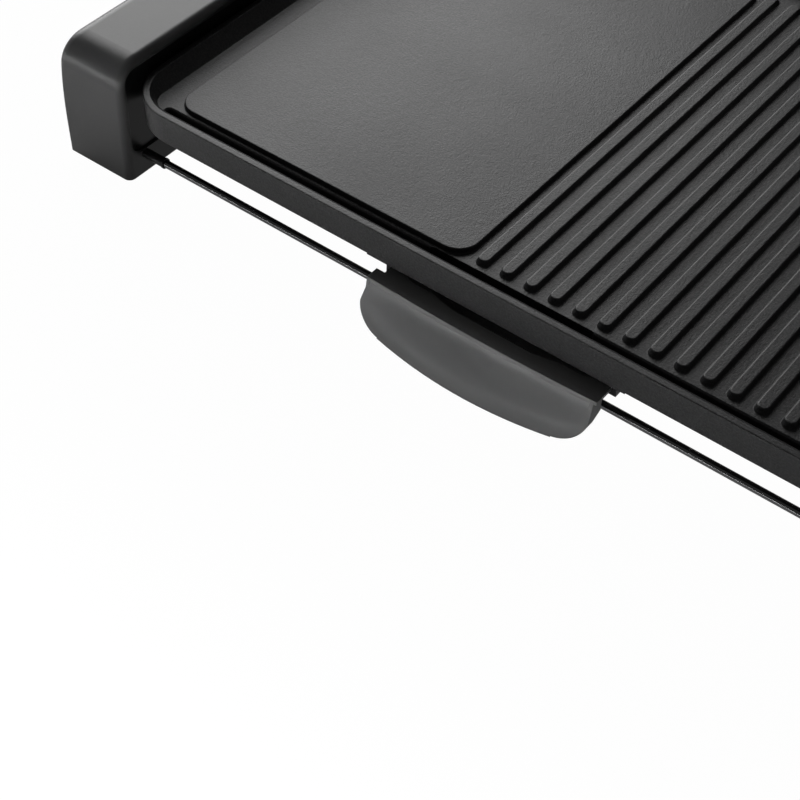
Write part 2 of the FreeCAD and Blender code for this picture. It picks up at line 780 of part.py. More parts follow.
def make_plate():
    plate = Body("griddle_casting")
    levels = (PLATE_BOTTOM, RIM)
    outer = (inset(ZERO, s.plate_corner_bottom), inset(ZERO, s.plate_corner_top))
    plate.loft("AdditiveLoft", "XY", levels, outer)
    floor_margin = s.rim_width + s.pan_wall_run
    pan = (inset(floor_margin, s.pan_floor_corner), inset(s.rim_width, s.plate_corner_top - s.rim_width))
    plate.loft("SubtractiveLoft", "XY", (PAN_FLOOR, RIM), pan)
    hollow = inset(s.skirt_thickness, s.plate_corner_bottom - s.skirt_thickness)
    plate.pocket("XY", hollow, (PLATE_BOTTOM, UNDERSIDE))

    # smooth raised field on the left
    left, right = s.plateau_margin_side - HALF_LENGTH, -s.plateau_end
    front, rear = FRONT + s.plateau_margin_front, BACK - s.plateau_margin_front
    run = s.plateau_edge_run
    foot = rounded((left - run, right + run), (front - run, rear + run), s.plateau_corner + run)
    top = rounded((left, right), (front, rear), s.plateau_corner)
    plate.loft("AdditiveLoft", "XY", (PAN_FLOOR, RELIEF_TOP), (foot, top))

    # ribs across the rest of the pan
    start = s.rib_start_gap - s.plateau_end
    width = s.rib_top_width + s.rib_side_run * 2
    front, rear = FRONT + s.rib_end_margin, BACK - s.rib_end_margin
    foot = slot((start, start + width), (front, rear))
    x_top = (start + s.rib_side_run, start + width - s.rib_side_run)
    top = slot(x_top, (front + s.rib_end_run, rear - s.rib_end_run))
    rib = plate.loft("AdditiveLoft", "XY", (PAN_FLOOR, RELIEF_TOP), (foot, top))
    plate.linear_pattern(rib, s.rib_pitch * (s.rib_count - 1), s.rib_count)

    # grease groove along the front, with a sloped rear shoulder
    x_span = (s.groove_side_margin - HALF_LENGTH, HALF_LENGTH - s.groove_side_margin)
    front = FRONT + s.groove_setback
    rear = front + s.groove_width
    plate.pocket("XY", slot(x_span, (front, rear), "u"), (PAN_FLOOR - s.groove_depth, RELIEF_TOP))
    x_wide = (x_span[0] - s.groove_shoulder, x_span[1] + s.groove_shoulder)
    wide = slot(x_wide, (front, rear + s.groove_shoulder), "u")
    shoulder = (slot(x_span, (front, rear), "u"), wide)
    plate.loft("SubtractiveLoft", "XY", (PAN_FLOOR - s.groove_shoulder, PAN_FLOOR), shoulder)

    # lip under the front edge, spout, and the slot that drains the groove through it
    plate.pad(
        "XY",
        rectangle((-s.front_lip_length / 2, s.front_lip_length / 2), (FRONT, FRONT + s.skirt_thickness)),
        (PLATE_BOTTOM - s.front_lip_drop, PLATE_BOTTOM),
    )
    x_slot = (-s.slot_length / 2, s.slot_length / 2)
    y_slot = (front, front + s.slot_width)
    x_spout = (x_slot[0] - s.spout_wall, x_slot[1] + s.spout_wall)
    y_spout = (y_slot[0] - s.spout_wall, y_slot[1] + s.spout_wall)
    spout_bottom = PLATE_BOTTOM - s.spout_drop
    plate.pad("XY", slot(x_spout, y_spout, "u"), (spout_bottom, UNDERSIDE))
    plate.pocket("XY", slot(x_slot, y_slot, "u"), (spout_bottom, RELIEF_TOP))

    # bosses for the screws of the brackets and runners, and the screw hole of the probe's clip
    for side in SIDES.values():
        bosses = [(BRACKET_SCREW, y, s.bracket_boss_radius, BRACKET_TOP) for y in BRACKET_ENDS.values()]
        bosses.append((*RUNNER_EAR, s.runner_boss_radius, RUNNER_TOP))
        for x, y, radius, bottom in bosses:
            plate.pad("XY", circle(x * side, y, radius), (bottom, UNDERSIDE))
            plate.pocket("XY", circle(x * side, y, SCREW_HOLE), (bottom, bottom + SCREW_DEPTH))
    plate.pocket("XY", circle(*CLIP_SCREW, SCREW_HOLE), (UNDERSIDE, UNDERSIDE + SCREW_DEPTH))

    def outer_rim(edge):
        extent = edge.BoundBox
        beside = extent.XMin < 0.01 - float(HALF_LENGTH) or extent.XMax > float(HALF_LENGTH) - 0.01
        before = extent.YMin < float(FRONT) + 0.01 or extent.YMax > float(BACK) - 0.01
        return lies_at(edge, "Z", RIM) and (beside or before)

    plate.dress("Fillet", s.relief_rounding, lambda edge: lies_at(edge, "Z", RELIEF_TOP))
    plate.dress("Fillet", s.rim_bevel, outer_rim)

    groove_radius = ELEMENT_RADIUS + s.hole_clearance
    groove = feature("element_groove", tube(element_route(), s.element_bend_radius, groove_radius))
    node(cut("plate_with_groove", plate.body, [groove]), "griddle_plate")


def element_route():
    """Centre line of the heater: two long legs from the right, turned back and joined in the middle."""
    left = -s.element_left_reach
    right = s.element_right_reach
    bend = s.element_bend_radius
    legs = ELEMENT_LEGS
    returns = (legs["front"] + bend * 2, legs["rear"] - bend * 2)
    path = [(SHEATH_END, legs["front"]), (left, legs["front"]), (left, returns[0]), (right, returns[0])]
    path += [(right, returns[1]), (left, returns[1]), (left, legs["rear"]), (SHEATH_END, legs["rear"])]
    return [(x, y, ELEMENT_AXIS) for x, y in path]


def make_element():
    sheath = feature("element_sheath", tube(element_route(), s.element_bend_radius, ELEMENT_RADIUS))
    pins = []
    for end, y in ELEMENT_LEGS.items():
        base = (SHEATH_END, y, ELEMENT_AXIS)
        pins.append(cylinder(f"element_pin_{end}", base, "x", s.element_pin_radius, PIN_END - SHEATH_END))
    node(fuse("element", [sheath] + pins), "heating_element")


# ---------------------------------------------------------------- end housings
WINDOW_Y = (HOUSING_FRONT + s.panel_margin, HOUSING_BACK - s.panel_margin)
WINDOW_Z = (HOUSING_BOTTOM + s.panel_bottom_margin, HOUSING_TOP - s.panel_top_margin)
CAVITY_X = (HOUSING_INNER + s.housing_wall, HOUSING_OUTER - s.housing_wall)
CAVITY_Y = (HOUSING_FRONT + s.housing_wall, HOUSING_BACK - s.housing_wall)
BOSS_REACH = s.boss_radius - s.boss_overlap
BOSSES = [
    (HOUSING_INNER + s.boss_offset, CAVITY_Y[0] + BOSS_REACH),
    (HOUSING_INNER + s.boss_offset, CAVITY_Y[1] - BOSS_REACH),
    (CAVITY_X[1] - BOSS_REACH, MIDDLE - s.boss_spread),
    (CAVITY_X[1] - BOSS_REACH, MIDDLE + s.boss_spread),
]
CAVITY_CORNER = s.housing_top_radius - s.housing_wall
SOCKET_END = PANEL_BACK + s.rod_socket_depth
SOCKET_STOP = SOCKET_END - s.rod_socket_wall
ROD_HOLE = ROD_RADIUS + s.hole_clearance
LEG_FACE = PANEL_BACK + s.bracket_boss_depth
LEG_SCREW = BRACKET_TOP - s.bracket_leg + s.screw_head_radius + s.hole_clearance
FEET = (HOUSING_FRONT + s.foot_inset, HOUSING_BACK - s.foot_inset)
FOOT_HOLE = s.foot_stem_radius + s.hole_clearance
INLET_Z = (s.inlet_height - s.inlet_body_height / 2, s.inlet_height + s.inlet_body_height / 2)
INLET_X = (HOUSING_MIDDLE - s.inlet_body_width / 2, HOUSING_MIDDLE + s.inlet_body_width / 2)
CAPILLARY_Z = PLATE_BOTTOM - s.bracket_skirt_gap - s.capillary_radius


def beside(level):
    """Picks the edges at one X level, except the one along the foot."""
    return lambda edge: lies_at(edge, "X", level) and not lies_at(edge, "Z", HOUSING_BOTTOM)


def round_shoulder(name, base, level):
    """Round the block's outer edge, widely over the top and less and less down to the foot."""
    DOC.recompute()
    radii = {
        round(float(HOUSING_BOTTOM), 3): float(s.housing_foot_radius),
        round(float(HOUSING_TOP - s.housing_end_radius), 3): float(s.housing_shoulder_radius),
        round(float(HOUSING_TOP), 3): float(s.housing_top_radius),
    }
    picked = []
    for index, edge in enumerate(base.Shape.Edges, start=1):
        if beside(level)(edge):
            levels = [edge.valueAt(end).z for end in (edge.FirstParameter, edge.LastParameter)]
            picked.append((index, *[radii[round(z, 3)] for z in levels]))
    item = DOC.addObject("Part::Fillet", name)
    item.Base = base
    item.Edges = picked
    return item


def make_cover(label, side):
    """One hollow end housing, open below and with a window towards the plate."""
    name = label + "_cover"
    bend = s.housing_end_radius
    block = Body(name + "_block")
    side_view = arch((HOUSING_FRONT, HOUSING_BACK), (HOUSING_BOTTOM, HOUSING_TOP), bend, bend)
    block.pad("YZ", side_view, mirrored_span(side, HOUSING_INNER, HOUSING_OUTER))
    block.dress("Fillet", s.housing_inner_radius, beside(HOUSING_INNER * side))
    outside = round_shoulder(name + "_outside", block.body, HOUSING_OUTER * side)

    hollow = Body(name + "_hollow")
    bend = bend - s.housing_wall
    side_view = arch(CAVITY_Y, (HOUSING_BOTTOM, HOUSING_TOP - s.housing_wall), bend, bend)
    hollow.pad("YZ", side_view, mirrored_span(side, *CAVITY_X))
    hollow.dress("Fillet", CAVITY_CORNER, beside(CAVITY_X[1] * side))
    window = Body(name + "_window")
    wall_x = mirrored_span(side, HOUSING_INNER, PANEL_SEAT)
    window.pad("YZ", rounded(WINDOW_Y, WINDOW_Z, s.panel_corner), wall_x)
    tools = [hollow.body, window.body]
    for end, y in ROD_ENDS.items():
        base = (wall_x[0], y, s.rod_height)
        tools.append(cylinder(f"{name}_{end}_rod_hole", base, "x", ROD_HOLE, s.housing_wall))
    if side > 0:
        gap = s.hole_clearance
        for kind, z, radius in (("knob", KNOB_Z, s.bushing_radius), ("lamp", LAMP_Z, s.lamp_radius)):
            base = (HOUSING_MIDDLE, HOUSING_FRONT, z)
            tools.append(cylinder(f"{name}_{kind}_hole", base, "y", radius + gap, s.housing_wall))
        hole_x = (INLET_X[0] - gap, INLET_X[1] + gap)
        hole_z = (INLET_Z[0] - gap, INLET_Z[1] + gap)
        rear_wall = (HOUSING_BACK - s.housing_wall, HOUSING_BACK)
        tools.append(box(name + "_inlet_hole", hole_x, rear_wall, hole_z))

    parts = [cut(name + "_shell", outside, tools)]
    holes = []
    for number, (x, y) in enumerate(BOSSES, start=1):
        base = (x * side, y, BASE_TOP)
        parts.append(cylinder(f"{name}_post_{number}", base, "z", s.boss_radius, s.boss_height))
        holes.append(cylinder(f"{name}_post_hole_{number}", base, "z", SCREW_HOLE, SCREW_DEPTH))
    node(cut(name, fuse(name + "_with_posts", parts), holes), label + "_end_cover")


def make_panel(label, side):
    """Dark panel that closes the window, with the sockets of the rods on its back."""
    panel = Body(label + "_inner_panel")
    over = s.panel_overlap
    gap = s.panel_clearance
    socket_radius = ROD_HOLE + s.rod_socket_wall
    back_z = (s.rod_height - socket_radius - over, WINDOW_Z[1] + over)
    back = rounded((WINDOW_Y[0] - over, WINDOW_Y[1] + over), back_z, s.panel_back_corner)
    face_z = (WINDOW_Z[0] + gap, WINDOW_Z[1] - gap)
    face = rounded((WINDOW_Y[0] + gap, WINDOW_Y[1] - gap), face_z, s.panel_corner - gap)
    panel.pad("YZ", back, mirrored_span(side, PANEL_SEAT, PANEL_BACK))
    panel.pad("YZ", face, mirrored_span(side, PANEL_FACE, PANEL_SEAT))
    for y in ROD_ENDS.values():
        outer = circle(y, s.rod_height, socket_radius)
        panel.pad("YZ", outer, mirrored_span(side, PANEL_BACK, SOCKET_END))
        panel.pocket("YZ", circle(y, s.rod_height, ROD_HOLE), mirrored_span(side, PANEL_FACE, SOCKET_STOP))
        stop_x = mirrored_span(side, SOCKET_STOP, SOCKET_END)
        panel.pocket("YZ", circle(y, s.rod_height, SCREW_HOLE), stop_x)
    for y in BRACKET_ENDS.values():
        half = s.bracket_width / 2 + s.bracket_slot_clearance
        opening_z = (BRACKET_BOTTOM - s.bracket_slot_clearance, BRACKET_TOP + s.bracket_slot_clearance)
        opening = rectangle((y - half, y + half), opening_z)
        panel.pocket("YZ", opening, mirrored_span(side, PANEL_FACE, PANEL_BACK))
        panel.pad("YZ", circle(y, LEG_SCREW, s.boss_radius), mirrored_span(side, PANEL_BACK, LEG_FACE))
        screw_x = mirrored_span(side, LEG_FACE - SCREW_DEPTH, LEG_FACE)
        panel.pocket("YZ", circle(y, LEG_SCREW, SCREW_HOLE), screw_x)
    if side > 0:
        through = (PANEL_FACE, PANEL_BACK)
        for y in ELEMENT_LEGS.values():
            panel.pocket("YZ", circle(y, ELEMENT_AXIS, ELEMENT_RADIUS + s.tray_clearance), through)
        panel.pocket("YZ", circle(MIDDLE, CAPILLARY_Z, s.capillary_radius + s.tray_clearance), through)
    node(panel.body, label + "_inner_panel")


def make_base(label, side):
    """Flat cover under a housing, with holes for its screws and for the feet."""
    gap = s.base_clearance
    base = Body(label + "_base_cover")
    x_span = mirrored_span(side, CAVITY_X[0] + gap, CAVITY_X[1] - gap)
    y_span = (CAVITY_Y[0] + gap, CAVITY_Y[1] - gap)
    base.pad("XY", rounded(x_span, y_span, CAVITY_CORNER), (HOUSING_BOTTOM, BASE_TOP))
    for x, y in BOSSES:
        base.pocket("XY", circle(x * side, y, SCREW_HOLE), (HOUSING_BOTTOM, BASE_TOP))
    for y in FEET:
        base.pocket("XY", circle(HOUSING_MIDDLE * side, y, FOOT_HOLE), (HOUSING_BOTTOM, BASE_TOP))
    if side > 0:
        for x, y in BLOCK_SCREWS:
            base.pocket("XY", circle(x, y, SCREW_HOLE), (BASE_TOP - s.block_screw_grip, BASE_TOP))
    node(base.body, label + "_base_cover")


def make_feet():
    for label, side in SIDES.items():
        for end, y in zip(("front", "rear"), FEET):
            x = HOUSING_MIDDLE * side
            name = f"{label}_{end}_foot"
            pad = cylinder(name + "_pad", (x, y, ZERO), "z", s.foot_radius, s.foot_height)
            stem_length = s.base_thickness + s.foot_head_height
            stem = cylinder(name + "_stem", (x, y, HOUSING_BOTTOM), "z", s.foot_stem_radius, stem_length)
            head = cylinder(name + "_head", (x, y, BASE_TOP), "z", s.foot_head_radius, s.foot_head_height)
            node(fuse(name, [pad, stem, head]), name)


# ---------------------------------------------------------------- rods, bushes and brackets
def make_rods():
    reach = SOCKET_STOP - s.tray_clearance
    for end, y in ROD_ENDS.items():
        bar = cylinder(end + "_rod_bar", (-reach, y, s.rod_height), "x", ROD_RADIUS, reach * 2)
        holes = []
        for label, x in (("left", -reach), ("right", reach - SCREW_DEPTH)):
            base = (x, y, s.rod_height)
            holes.append(cylinder(f"{end}_rod_hole_{label}", base, "x", SCREW_HOLE, SCREW_DEPTH))
        node(cut(end + "_rod", bar, holes), end + "_rod")


def make_bushes():
    """Sleeves on the rods against the housings, each with a collar at its free end."""
    for label, side in SIDES.items():
        for end, y in ROD_ENDS.items():
            name = f"{label}_{end}_rod_bush"
            inner_end = HOUSING_INNER - s.bush_length
            parts = []
            sleeve_x = mirrored_span(side, inner_end, HOUSING_INNER)
            collar_x = mirrored_span(side, inner_end, inner_end + s.bush_collar_length)
            for kind, span, radius in (
                ("sleeve", sleeve_x, ROD_RADIUS + s.bush_wall),
                ("collar", collar_x, ROD_RADIUS + s.bush_wall + s.bush_collar),
            ):
                base = (span[0], y, s.rod_height)
                parts.append(cylinder(f"{name}_{kind}", base, "x", radius, span[1] - span[0]))
            base = (sleeve_x[0], y, s.rod_height)
            bore = cylinder(name + "_bore", base, "x", ROD_HOLE, sleeve_x[1] - sleeve_x[0])
            node(cut(name, fuse(name + "_outer", parts), [bore]), name)


def make_brackets():
    """Angle brackets that carry the plate: a tab under its skirt and a leg inside the housing."""
    for label, side in SIDES.items():
        for end, y in BRACKET_ENDS.items():
            name = f"{label}_{end}_plate_bracket"
            y_span = (y - s.bracket_width / 2, y + s.bracket_width / 2)
            leg_end = LEG_FACE + s.bracket_thickness
            tab_x = mirrored_span(side, HOUSING_INNER - s.bracket_inboard, leg_end)
            tab = box(name + "_tab", tab_x, y_span, (BRACKET_BOTTOM, BRACKET_TOP))
            leg_x = mirrored_span(side, LEG_FACE, leg_end)
            leg = box(name + "_leg", leg_x, y_span, (BRACKET_TOP - s.bracket_leg, BRACKET_TOP))
            tab_base = (BRACKET_SCREW * side, y, BRACKET_BOTTOM)
            leg_base = (leg_x[0], y, LEG_SCREW)
            holes = [
                cylinder(name + "_tab_hole", tab_base, "z", SCREW_HOLE, s.bracket_thickness),
                cylinder(name + "_leg_hole", leg_base, "x", SCREW_HOLE, s.bracket_thickness),
            ]
            node(cut(name, fuse(name + "_angle", [tab, leg]), holes), name)


def make_screws():
    short = s.bracket_thickness + s.screw_grip
    plate_screws = [screw("clip_screw", (*CLIP_SCREW, UNDERSIDE - s.bracket_thickness), "z", 1, short)]
    rod_screws = []
    base_screws = []
    for label, side in SIDES.items():
        for end, y in BRACKET_ENDS.items():
            tab = (BRACKET_SCREW * side, y, BRACKET_BOTTOM)
            plate_screws.append(screw(f"{label}_{end}_tab_screw", tab, "z", 1, short))
            leg = ((LEG_FACE + s.bracket_thickness) * side, y, LEG_SCREW)
            plate_screws.append(screw(f"{label}_{end}_leg_screw", leg, "x", -side, short))
        ear = (RUNNER_EAR[0] * side, RUNNER_EAR[1], RUNNER_TOP - s.bracket_thickness)
        plate_screws.append(screw(f"{label}_ear_screw", ear, "z", 1, short))
        for end, y in ROD_ENDS.items():
            head = (SOCKET_END * side, y, s.rod_height)
            length = s.rod_socket_wall + s.tray_clearance + s.screw_grip
            rod_screws.append(screw(f"{label}_{end}_rod_screw", head, "x", -side, length))
        for number, (x, y) in enumerate(BOSSES, start=1):
            head = (x * side, y, HOUSING_BOTTOM)
            length = s.base_thickness + s.screw_grip
            base_screws.append(screw(f"{label}_base_screw_{number}", head, "z", 1, length))
    block_screws = []
    for number, (x, y) in enumerate(BLOCK_SCREWS, start=1):
        head = (x, y, BASE_TOP + s.block_ear_height)
        length = s.block_ear_height + s.block_screw_grip - s.tray_clearance
        block_screws.append(screw(f"block_screw_{number}", head, "z", -1, length))
    node(group("bracket_screw_set", plate_screws), "bracket_screws")
    node(group("rod_screw_set", rod_screws), "rod_screws")
    node(group("base_screw_set", base_screws), "base_screws")
    node(group("block_screw_set", block_screws), "terminal_screws")


# ---------------------------------------------------------------- drip tray and its runners
LEDGE_Z = TRAY_RIM - s.tray_ledge_drop
TRAY_BOTTOM = s.rod_height + ROD_RADIUS + s.tray_clearance
FLOOR_Z = TRAY_BOTTOM + s.tray_floor_wall
TROUGH_FRONT = FRONT + s.tray_front_offset
TROUGH_BACK = FRONT + s.tray_back_reach
RETURN_END = FRONT - s.crease_end + s.return_depth


def trough(side_inset, front_run, back_run, wall, corner):
    """A level outline of the trough, grown outwards by a wall."""
    half = TRAY_HALF - side_inset + wall
    y_span = (TROUGH_FRONT + front_run - wall, TROUGH_BACK - back_run + wall)
    return rounded((-half, half), y_span, corner + wall)


def scoop(half, front, bulge, rear):
    """Outline from a curved front line back to a straight one."""
    return outline([(-half, front, bulge), (half, front), (half, rear), (-half, rear)])


def apron_shape():
    """The flared front of the tray below its lip."""
    half = float(s.apron_half_width)
    top = float(TRAY_RIM - s.apron_lip)
    step = float(s.apron_step)
    flare = [
        (-0.05, 0.0), (0.0, 0.01), (0.1, 0.08), (0.22, 0.25), (0.36, 0.48),
        (0.52, 0.7), (0.68, 0.86), (0.84, 0.95), (1.0, 1.0),
    ]
    columns = []
    for share in (-1.0, -0.8, -0.6, -0.4, -0.2, 0.0, 0.2, 0.4, 0.6, 0.8, 1.0):
        middle = 1 - share * share
        y = float(FRONT) - float(s.crease_end) - float(s.crease_middle - s.crease_end) * middle
        bulge = float(s.apron_bulge_end) + float(s.apron_bulge_middle - s.apron_bulge_end) * middle
        drop = float(s.apron_drop_end) + float(s.apron_drop_middle - s.apron_drop_end) * middle
        height = drop - float(s.apron_lip)
        column = []
        for down, forward in flare:
            x = float(s.apron_centre) + share * (half - step + (float(s.apron_side_flare) + step) * forward)
            column.append(Vector(x, y + step - (bulge + step) * forward, top - height * down))
        columns.append(column)
    surface = Part.BSplineSurface()
    surface.interpolate(columns)
    return surface.toShape().extrude(Vector(0, float(s.apron_thickness), 0))


def apron_corners():
    """What the rounded lower corners take away from the apron and its returns."""
    radius = float(s.apron_corner)
    reach = float(TRAY_REACH)
    edge = float(s.apron_half_width + s.apron_side_flare)
    bottom = float(TRAY_RIM - s.apron_drop_end)
    spare = float(s.return_depth)
    y = float(FRONT) - reach * 2
    corners = []
    for side in SIDES.values():
        centre_x = float(s.apron_centre) + side * (edge - radius)
        low_x = centre_x if side > 0 else centre_x - radius - spare
        block = Part.makeBox(radius + spare, reach * 3, radius + spare, Vector(low_x, y, bottom - spare))
        centre = Vector(centre_x, y, bottom + radius)
        rounding = Part.makeCylinder(radius, reach * 3, centre, Vector(0, 1, 0))
        corners.append(feature(f"apron_corner_{len(corners) + 1}", block.cut(rounding)))
    return corners


def make_tray():
    tray = Body("tray_trough")
    wall, floor_wall = s.tray_wall, s.tray_floor_wall
    inner_ledge = s.tray_ledge_inset + s.tray_ledge_width
    ledge_front = s.tray_ledge_front_run + s.tray_ledge_width
    ledge_back = s.tray_ledge_back_run + s.tray_ledge_width
    rim = (s.tray_rim_inset, ZERO, ZERO)
    ledge = (s.tray_ledge_inset, s.tray_ledge_front_run, s.tray_ledge_back_run)
    step = (inner_ledge, ledge_front, ledge_back)
    floor = (s.tray_floor_inset, s.tray_floor_front_run, s.tray_floor_back_run)
    corner = s.tray_corner
    low_corner = s.tray_corner - s.tray_ledge_width
    outer_upper = (trough(*ledge, wall, corner), trough(*rim, wall, corner))
    outer_lower = (trough(*floor, floor_wall, low_corner), trough(*step, floor_wall, low_corner))
    tray.loft("AdditiveLoft", "XY", (LEDGE_Z - wall, TRAY_RIM), outer_upper)
    tray.loft("AdditiveLoft", "XY", (TRAY_BOTTOM, LEDGE_Z - wall), outer_lower)

    # flange, square at the front and bevelled at its rear corners
    rear = FRONT + s.flange_reach
    bevel = s.flange_chamfer
    flange = polygon([
        (-TRAY_HALF, FRONT - s.crease_end),
        (TRAY_HALF, FRONT - s.crease_end),
        (TRAY_HALF, rear - bevel),
        (TRAY_HALF - bevel, rear),
        (bevel - TRAY_HALF, rear),
        (-TRAY_HALF, rear - bevel),
    ])
    tray.pad("XY", flange, (FLANGE_BOTTOM, TRAY_RIM))

    # block for the curved front wall of the trough
    floor_front = TROUGH_FRONT + s.tray_floor_front_run
    floor_half = s.scoop_half_width + s.scoop_floor_spread
    block_rear = floor_front + s.tray_corner
    levels = (TRAY_BOTTOM, TRAY_RIM)
    low = scoop(floor_half + wall, floor_front - s.scoop_wall, -s.scoop_floor_bulge, block_rear)
    high = scoop(s.scoop_half_width + wall, TROUGH_FRONT - s.scoop_wall, s.scoop_bulge, block_rear)
    tray.loft("AdditiveLoft", "XY", levels, (low, high))

    # hollow of the trough, and its front scooped forwards in the middle
    inner_upper = (trough(*ledge, ZERO, corner), trough(*rim, ZERO, corner))
    tray.loft("SubtractiveLoft", "XY", (LEDGE_Z, TRAY_RIM), inner_upper)
    inner_lower = (trough(*floor, ZERO, low_corner), trough(*step, ZERO, low_corner))
    tray.loft("SubtractiveLoft", "XY", (FLOOR_Z, LEDGE_Z), inner_lower)
    low = scoop(floor_half, floor_front, -s.scoop_floor_bulge, block_rear)
    high = scoop(s.scoop_half_width, TROUGH_FRONT, s.scoop_bulge, block_rear)
    tray.loft("SubtractiveLoft", "XY", (FLOOR_Z, TRAY_RIM), (low, high))

    # crest and lip over the apron's full width, and the short returns at its ends
    centre, half = s.apron_centre, s.apron_half_width
    front = FRONT - s.crease_end
    rise = s.crease_middle - s.crease_end
    for y, z in ((RETURN_END, FLANGE_BOTTOM), (front + s.apron_thickness, TRAY_RIM - s.apron_lip)):
        left, right = centre - half, centre + half
        strip = outline([(left, front, rise), (right, front), (right, y), (left, y)])
        tray.pad("XY", strip, (z, TRAY_RIM))
    low = TRAY_RIM - s.return_height
    side_view = polygon([
        (front, TRAY_RIM), (front - s.return_lean, low), (front - s.return_reach, TRAY_RIM - s.return_drop),
        (RETURN_END, low), (RETURN_END, TRAY_RIM),
    ])
    tray.pad("YZ", side_view, (centre - half, centre - half + wall))
    tray.pad("YZ", side_view, (centre + half - wall, centre + half))
    apron = feature("apron", apron_shape())
    node(cut("tray", fuse("tray_with_apron", [tray.body, apron]), apron_corners()), "drip_tray")


def make_runners():
    """Channel rails for the tray's flange, screwed to the plate in front and hung on the rear rod."""
    gap = s.tray_clearance
    wall = s.runner_wall
    low = FLANGE_BOTTOM - gap
    high = TRAY_RIM + gap
    lip = RUNNER_INNER - s.runner_lip
    y_span = (RETURN_END + s.runner_setback, BACK - s.housing_setback)
    ear_half = s.screw_head_radius + wall
    for label, side in SIDES.items():
        runner = Body("tray_runner_" + label)
        points = [
            (lip, low - wall), (RUNNER_OUTER, low - wall), (RUNNER_OUTER, RUNNER_TOP), (lip, RUNNER_TOP),
            (lip, high), (RUNNER_INNER, high), (RUNNER_INNER, low), (lip, low),
        ]
        points = [(x * side, z) for x, z in points]
        if side < 0:
            points = points[::-1]
        runner.pad("XZ", polygon(points), y_span)
        web_x = mirrored_span(side, RUNNER_INNER, RUNNER_OUTER)
        half = s.runner_lug_width / 2
        lug_z = (s.rod_height - s.runner_lug_below_rod, low - wall)
        lug = rectangle((ROD_BACK - half, ROD_BACK + half), lug_z)
        runner.pad("YZ", lug, web_x)
        runner.pocket("YZ", circle(ROD_BACK, s.rod_height, ROD_HOLE), web_x)
        ear_x = mirrored_span(side, RUNNER_INNER, RUNNER_OUTER + s.runner_ear_reach)
        ear = rectangle(ear_x, (RUNNER_EAR[1] - ear_half, RUNNER_EAR[1] + ear_half))
        ear_z = (RUNNER_TOP - s.bracket_thickness, RUNNER_TOP)
        runner.pad("XY", ear, ear_z)
        runner.pocket("XY", circle(RUNNER_EAR[0] * side, RUNNER_EAR[1], SCREW_HOLE), ear_z)
        node(runner.body, "tray_runner_" + label)


# ---------------------------------------------------------------- controls
DIAL_FACE = HOUSING_FRONT - s.dial_thickness
KNOB_BACK = DIAL_FACE - s.knob_gap
KNOB_FACE = KNOB_BACK - s.knob_depth
THERMOSTAT_FRONT = HOUSING_FRONT + s.housing_wall
THERMOSTAT_BACK = THERMOSTAT_FRONT + s.thermostat_depth
BUSHING_END = DIAL_FACE - s.nut_thickness - s.knob_gap
HUB_BACK = BUSHING_END - s.knob_gap


def make_knob():
    centre = (HOUSING_MIDDLE, KNOB_Z)
    knob = Body("knob_shell")
    knob.pad("XZ", circle(*centre, s.knob_radius), (KNOB_FACE, KNOB_BACK))
    knob.dress("Fillet", s.knob_edge_radius, lambda edge: lies_at(edge, "Y", KNOB_FACE))
    knob.pocket("XZ", circle(*centre, s.knob_radius - s.knob_wall), (KNOB_FACE + s.knob_wall, KNOB_BACK))
    knob.pad("XZ", circle(*centre, s.shaft_radius + s.knob_wall), (KNOB_FACE + s.knob_wall, HUB_BACK))
    bore = circle(*centre, s.shaft_radius + s.hole_clearance)
    knob.pocket("XZ", bore, (KNOB_FACE + s.knob_wall, HUB_BACK))
    half = s.pointer_width / 2
    x_span = (HOUSING_MIDDLE - half, HOUSING_MIDDLE + half)
    z_span = (KNOB_Z, KNOB_Z + s.knob_radius - s.knob_wall)
    knob.pocket("XZ", rectangle(x_span, z_span), (KNOB_FACE, KNOB_FACE + s.pointer_depth))
    node(knob.body, "control_knob")
    shaft_front = KNOB_FACE + s.knob_wall + s.hole_clearance
    shaft_base = (HOUSING_MIDDLE, shaft_front, KNOB_Z)
    shaft_length = THERMOSTAT_FRONT - s.hole_clearance - shaft_front
    shaft = cylinder("shaft", shaft_base, "y", s.shaft_radius, shaft_length)
    node(shaft, "thermostat_shaft")


def make_thermostat():
    centre_x, centre_z = HOUSING_MIDDLE, KNOB_Z
    hole = s.bushing_radius + s.hole_clearance
    dial = cylinder("dial_disc", (centre_x, DIAL_FACE, centre_z), "y", s.dial_radius, s.dial_thickness)
    dial_hole = cylinder("dial_hole", (centre_x, DIAL_FACE, centre_z), "y", hole, s.dial_thickness)
    node(cut("dial", dial, [dial_hole]), "dial_plate")
    nut_front = DIAL_FACE - s.nut_thickness
    circumradius = s.nut_width / math.sqrt(3)
    nut = prism("nut_block", (centre_x, nut_front, centre_z), "y", circumradius, s.nut_thickness)
    nut_hole = cylinder("nut_hole", (centre_x, nut_front, centre_z), "y", hole, s.nut_thickness)
    node(cut("nut", nut, [nut_hole]), "thermostat_nut")
    half_width, half_height = s.thermostat_width / 2, s.thermostat_height / 2
    case = box(
        "thermostat_case",
        (centre_x - half_width, centre_x + half_width),
        (THERMOSTAT_FRONT, THERMOSTAT_BACK),
        (centre_z - half_height, centre_z + half_height),
    )
    length = THERMOSTAT_FRONT - BUSHING_END
    bushing = cylinder("bushing", (centre_x, BUSHING_END, centre_z), "y", s.bushing_radius, length)
    bore_radius = s.shaft_radius + s.running_clearance
    bore = cylinder("bushing_bore", (centre_x, BUSHING_END, centre_z), "y", bore_radius, length)
    node(cut("thermostat", fuse("thermostat_outer", [case, bushing]), [bore]), "thermostat_body")


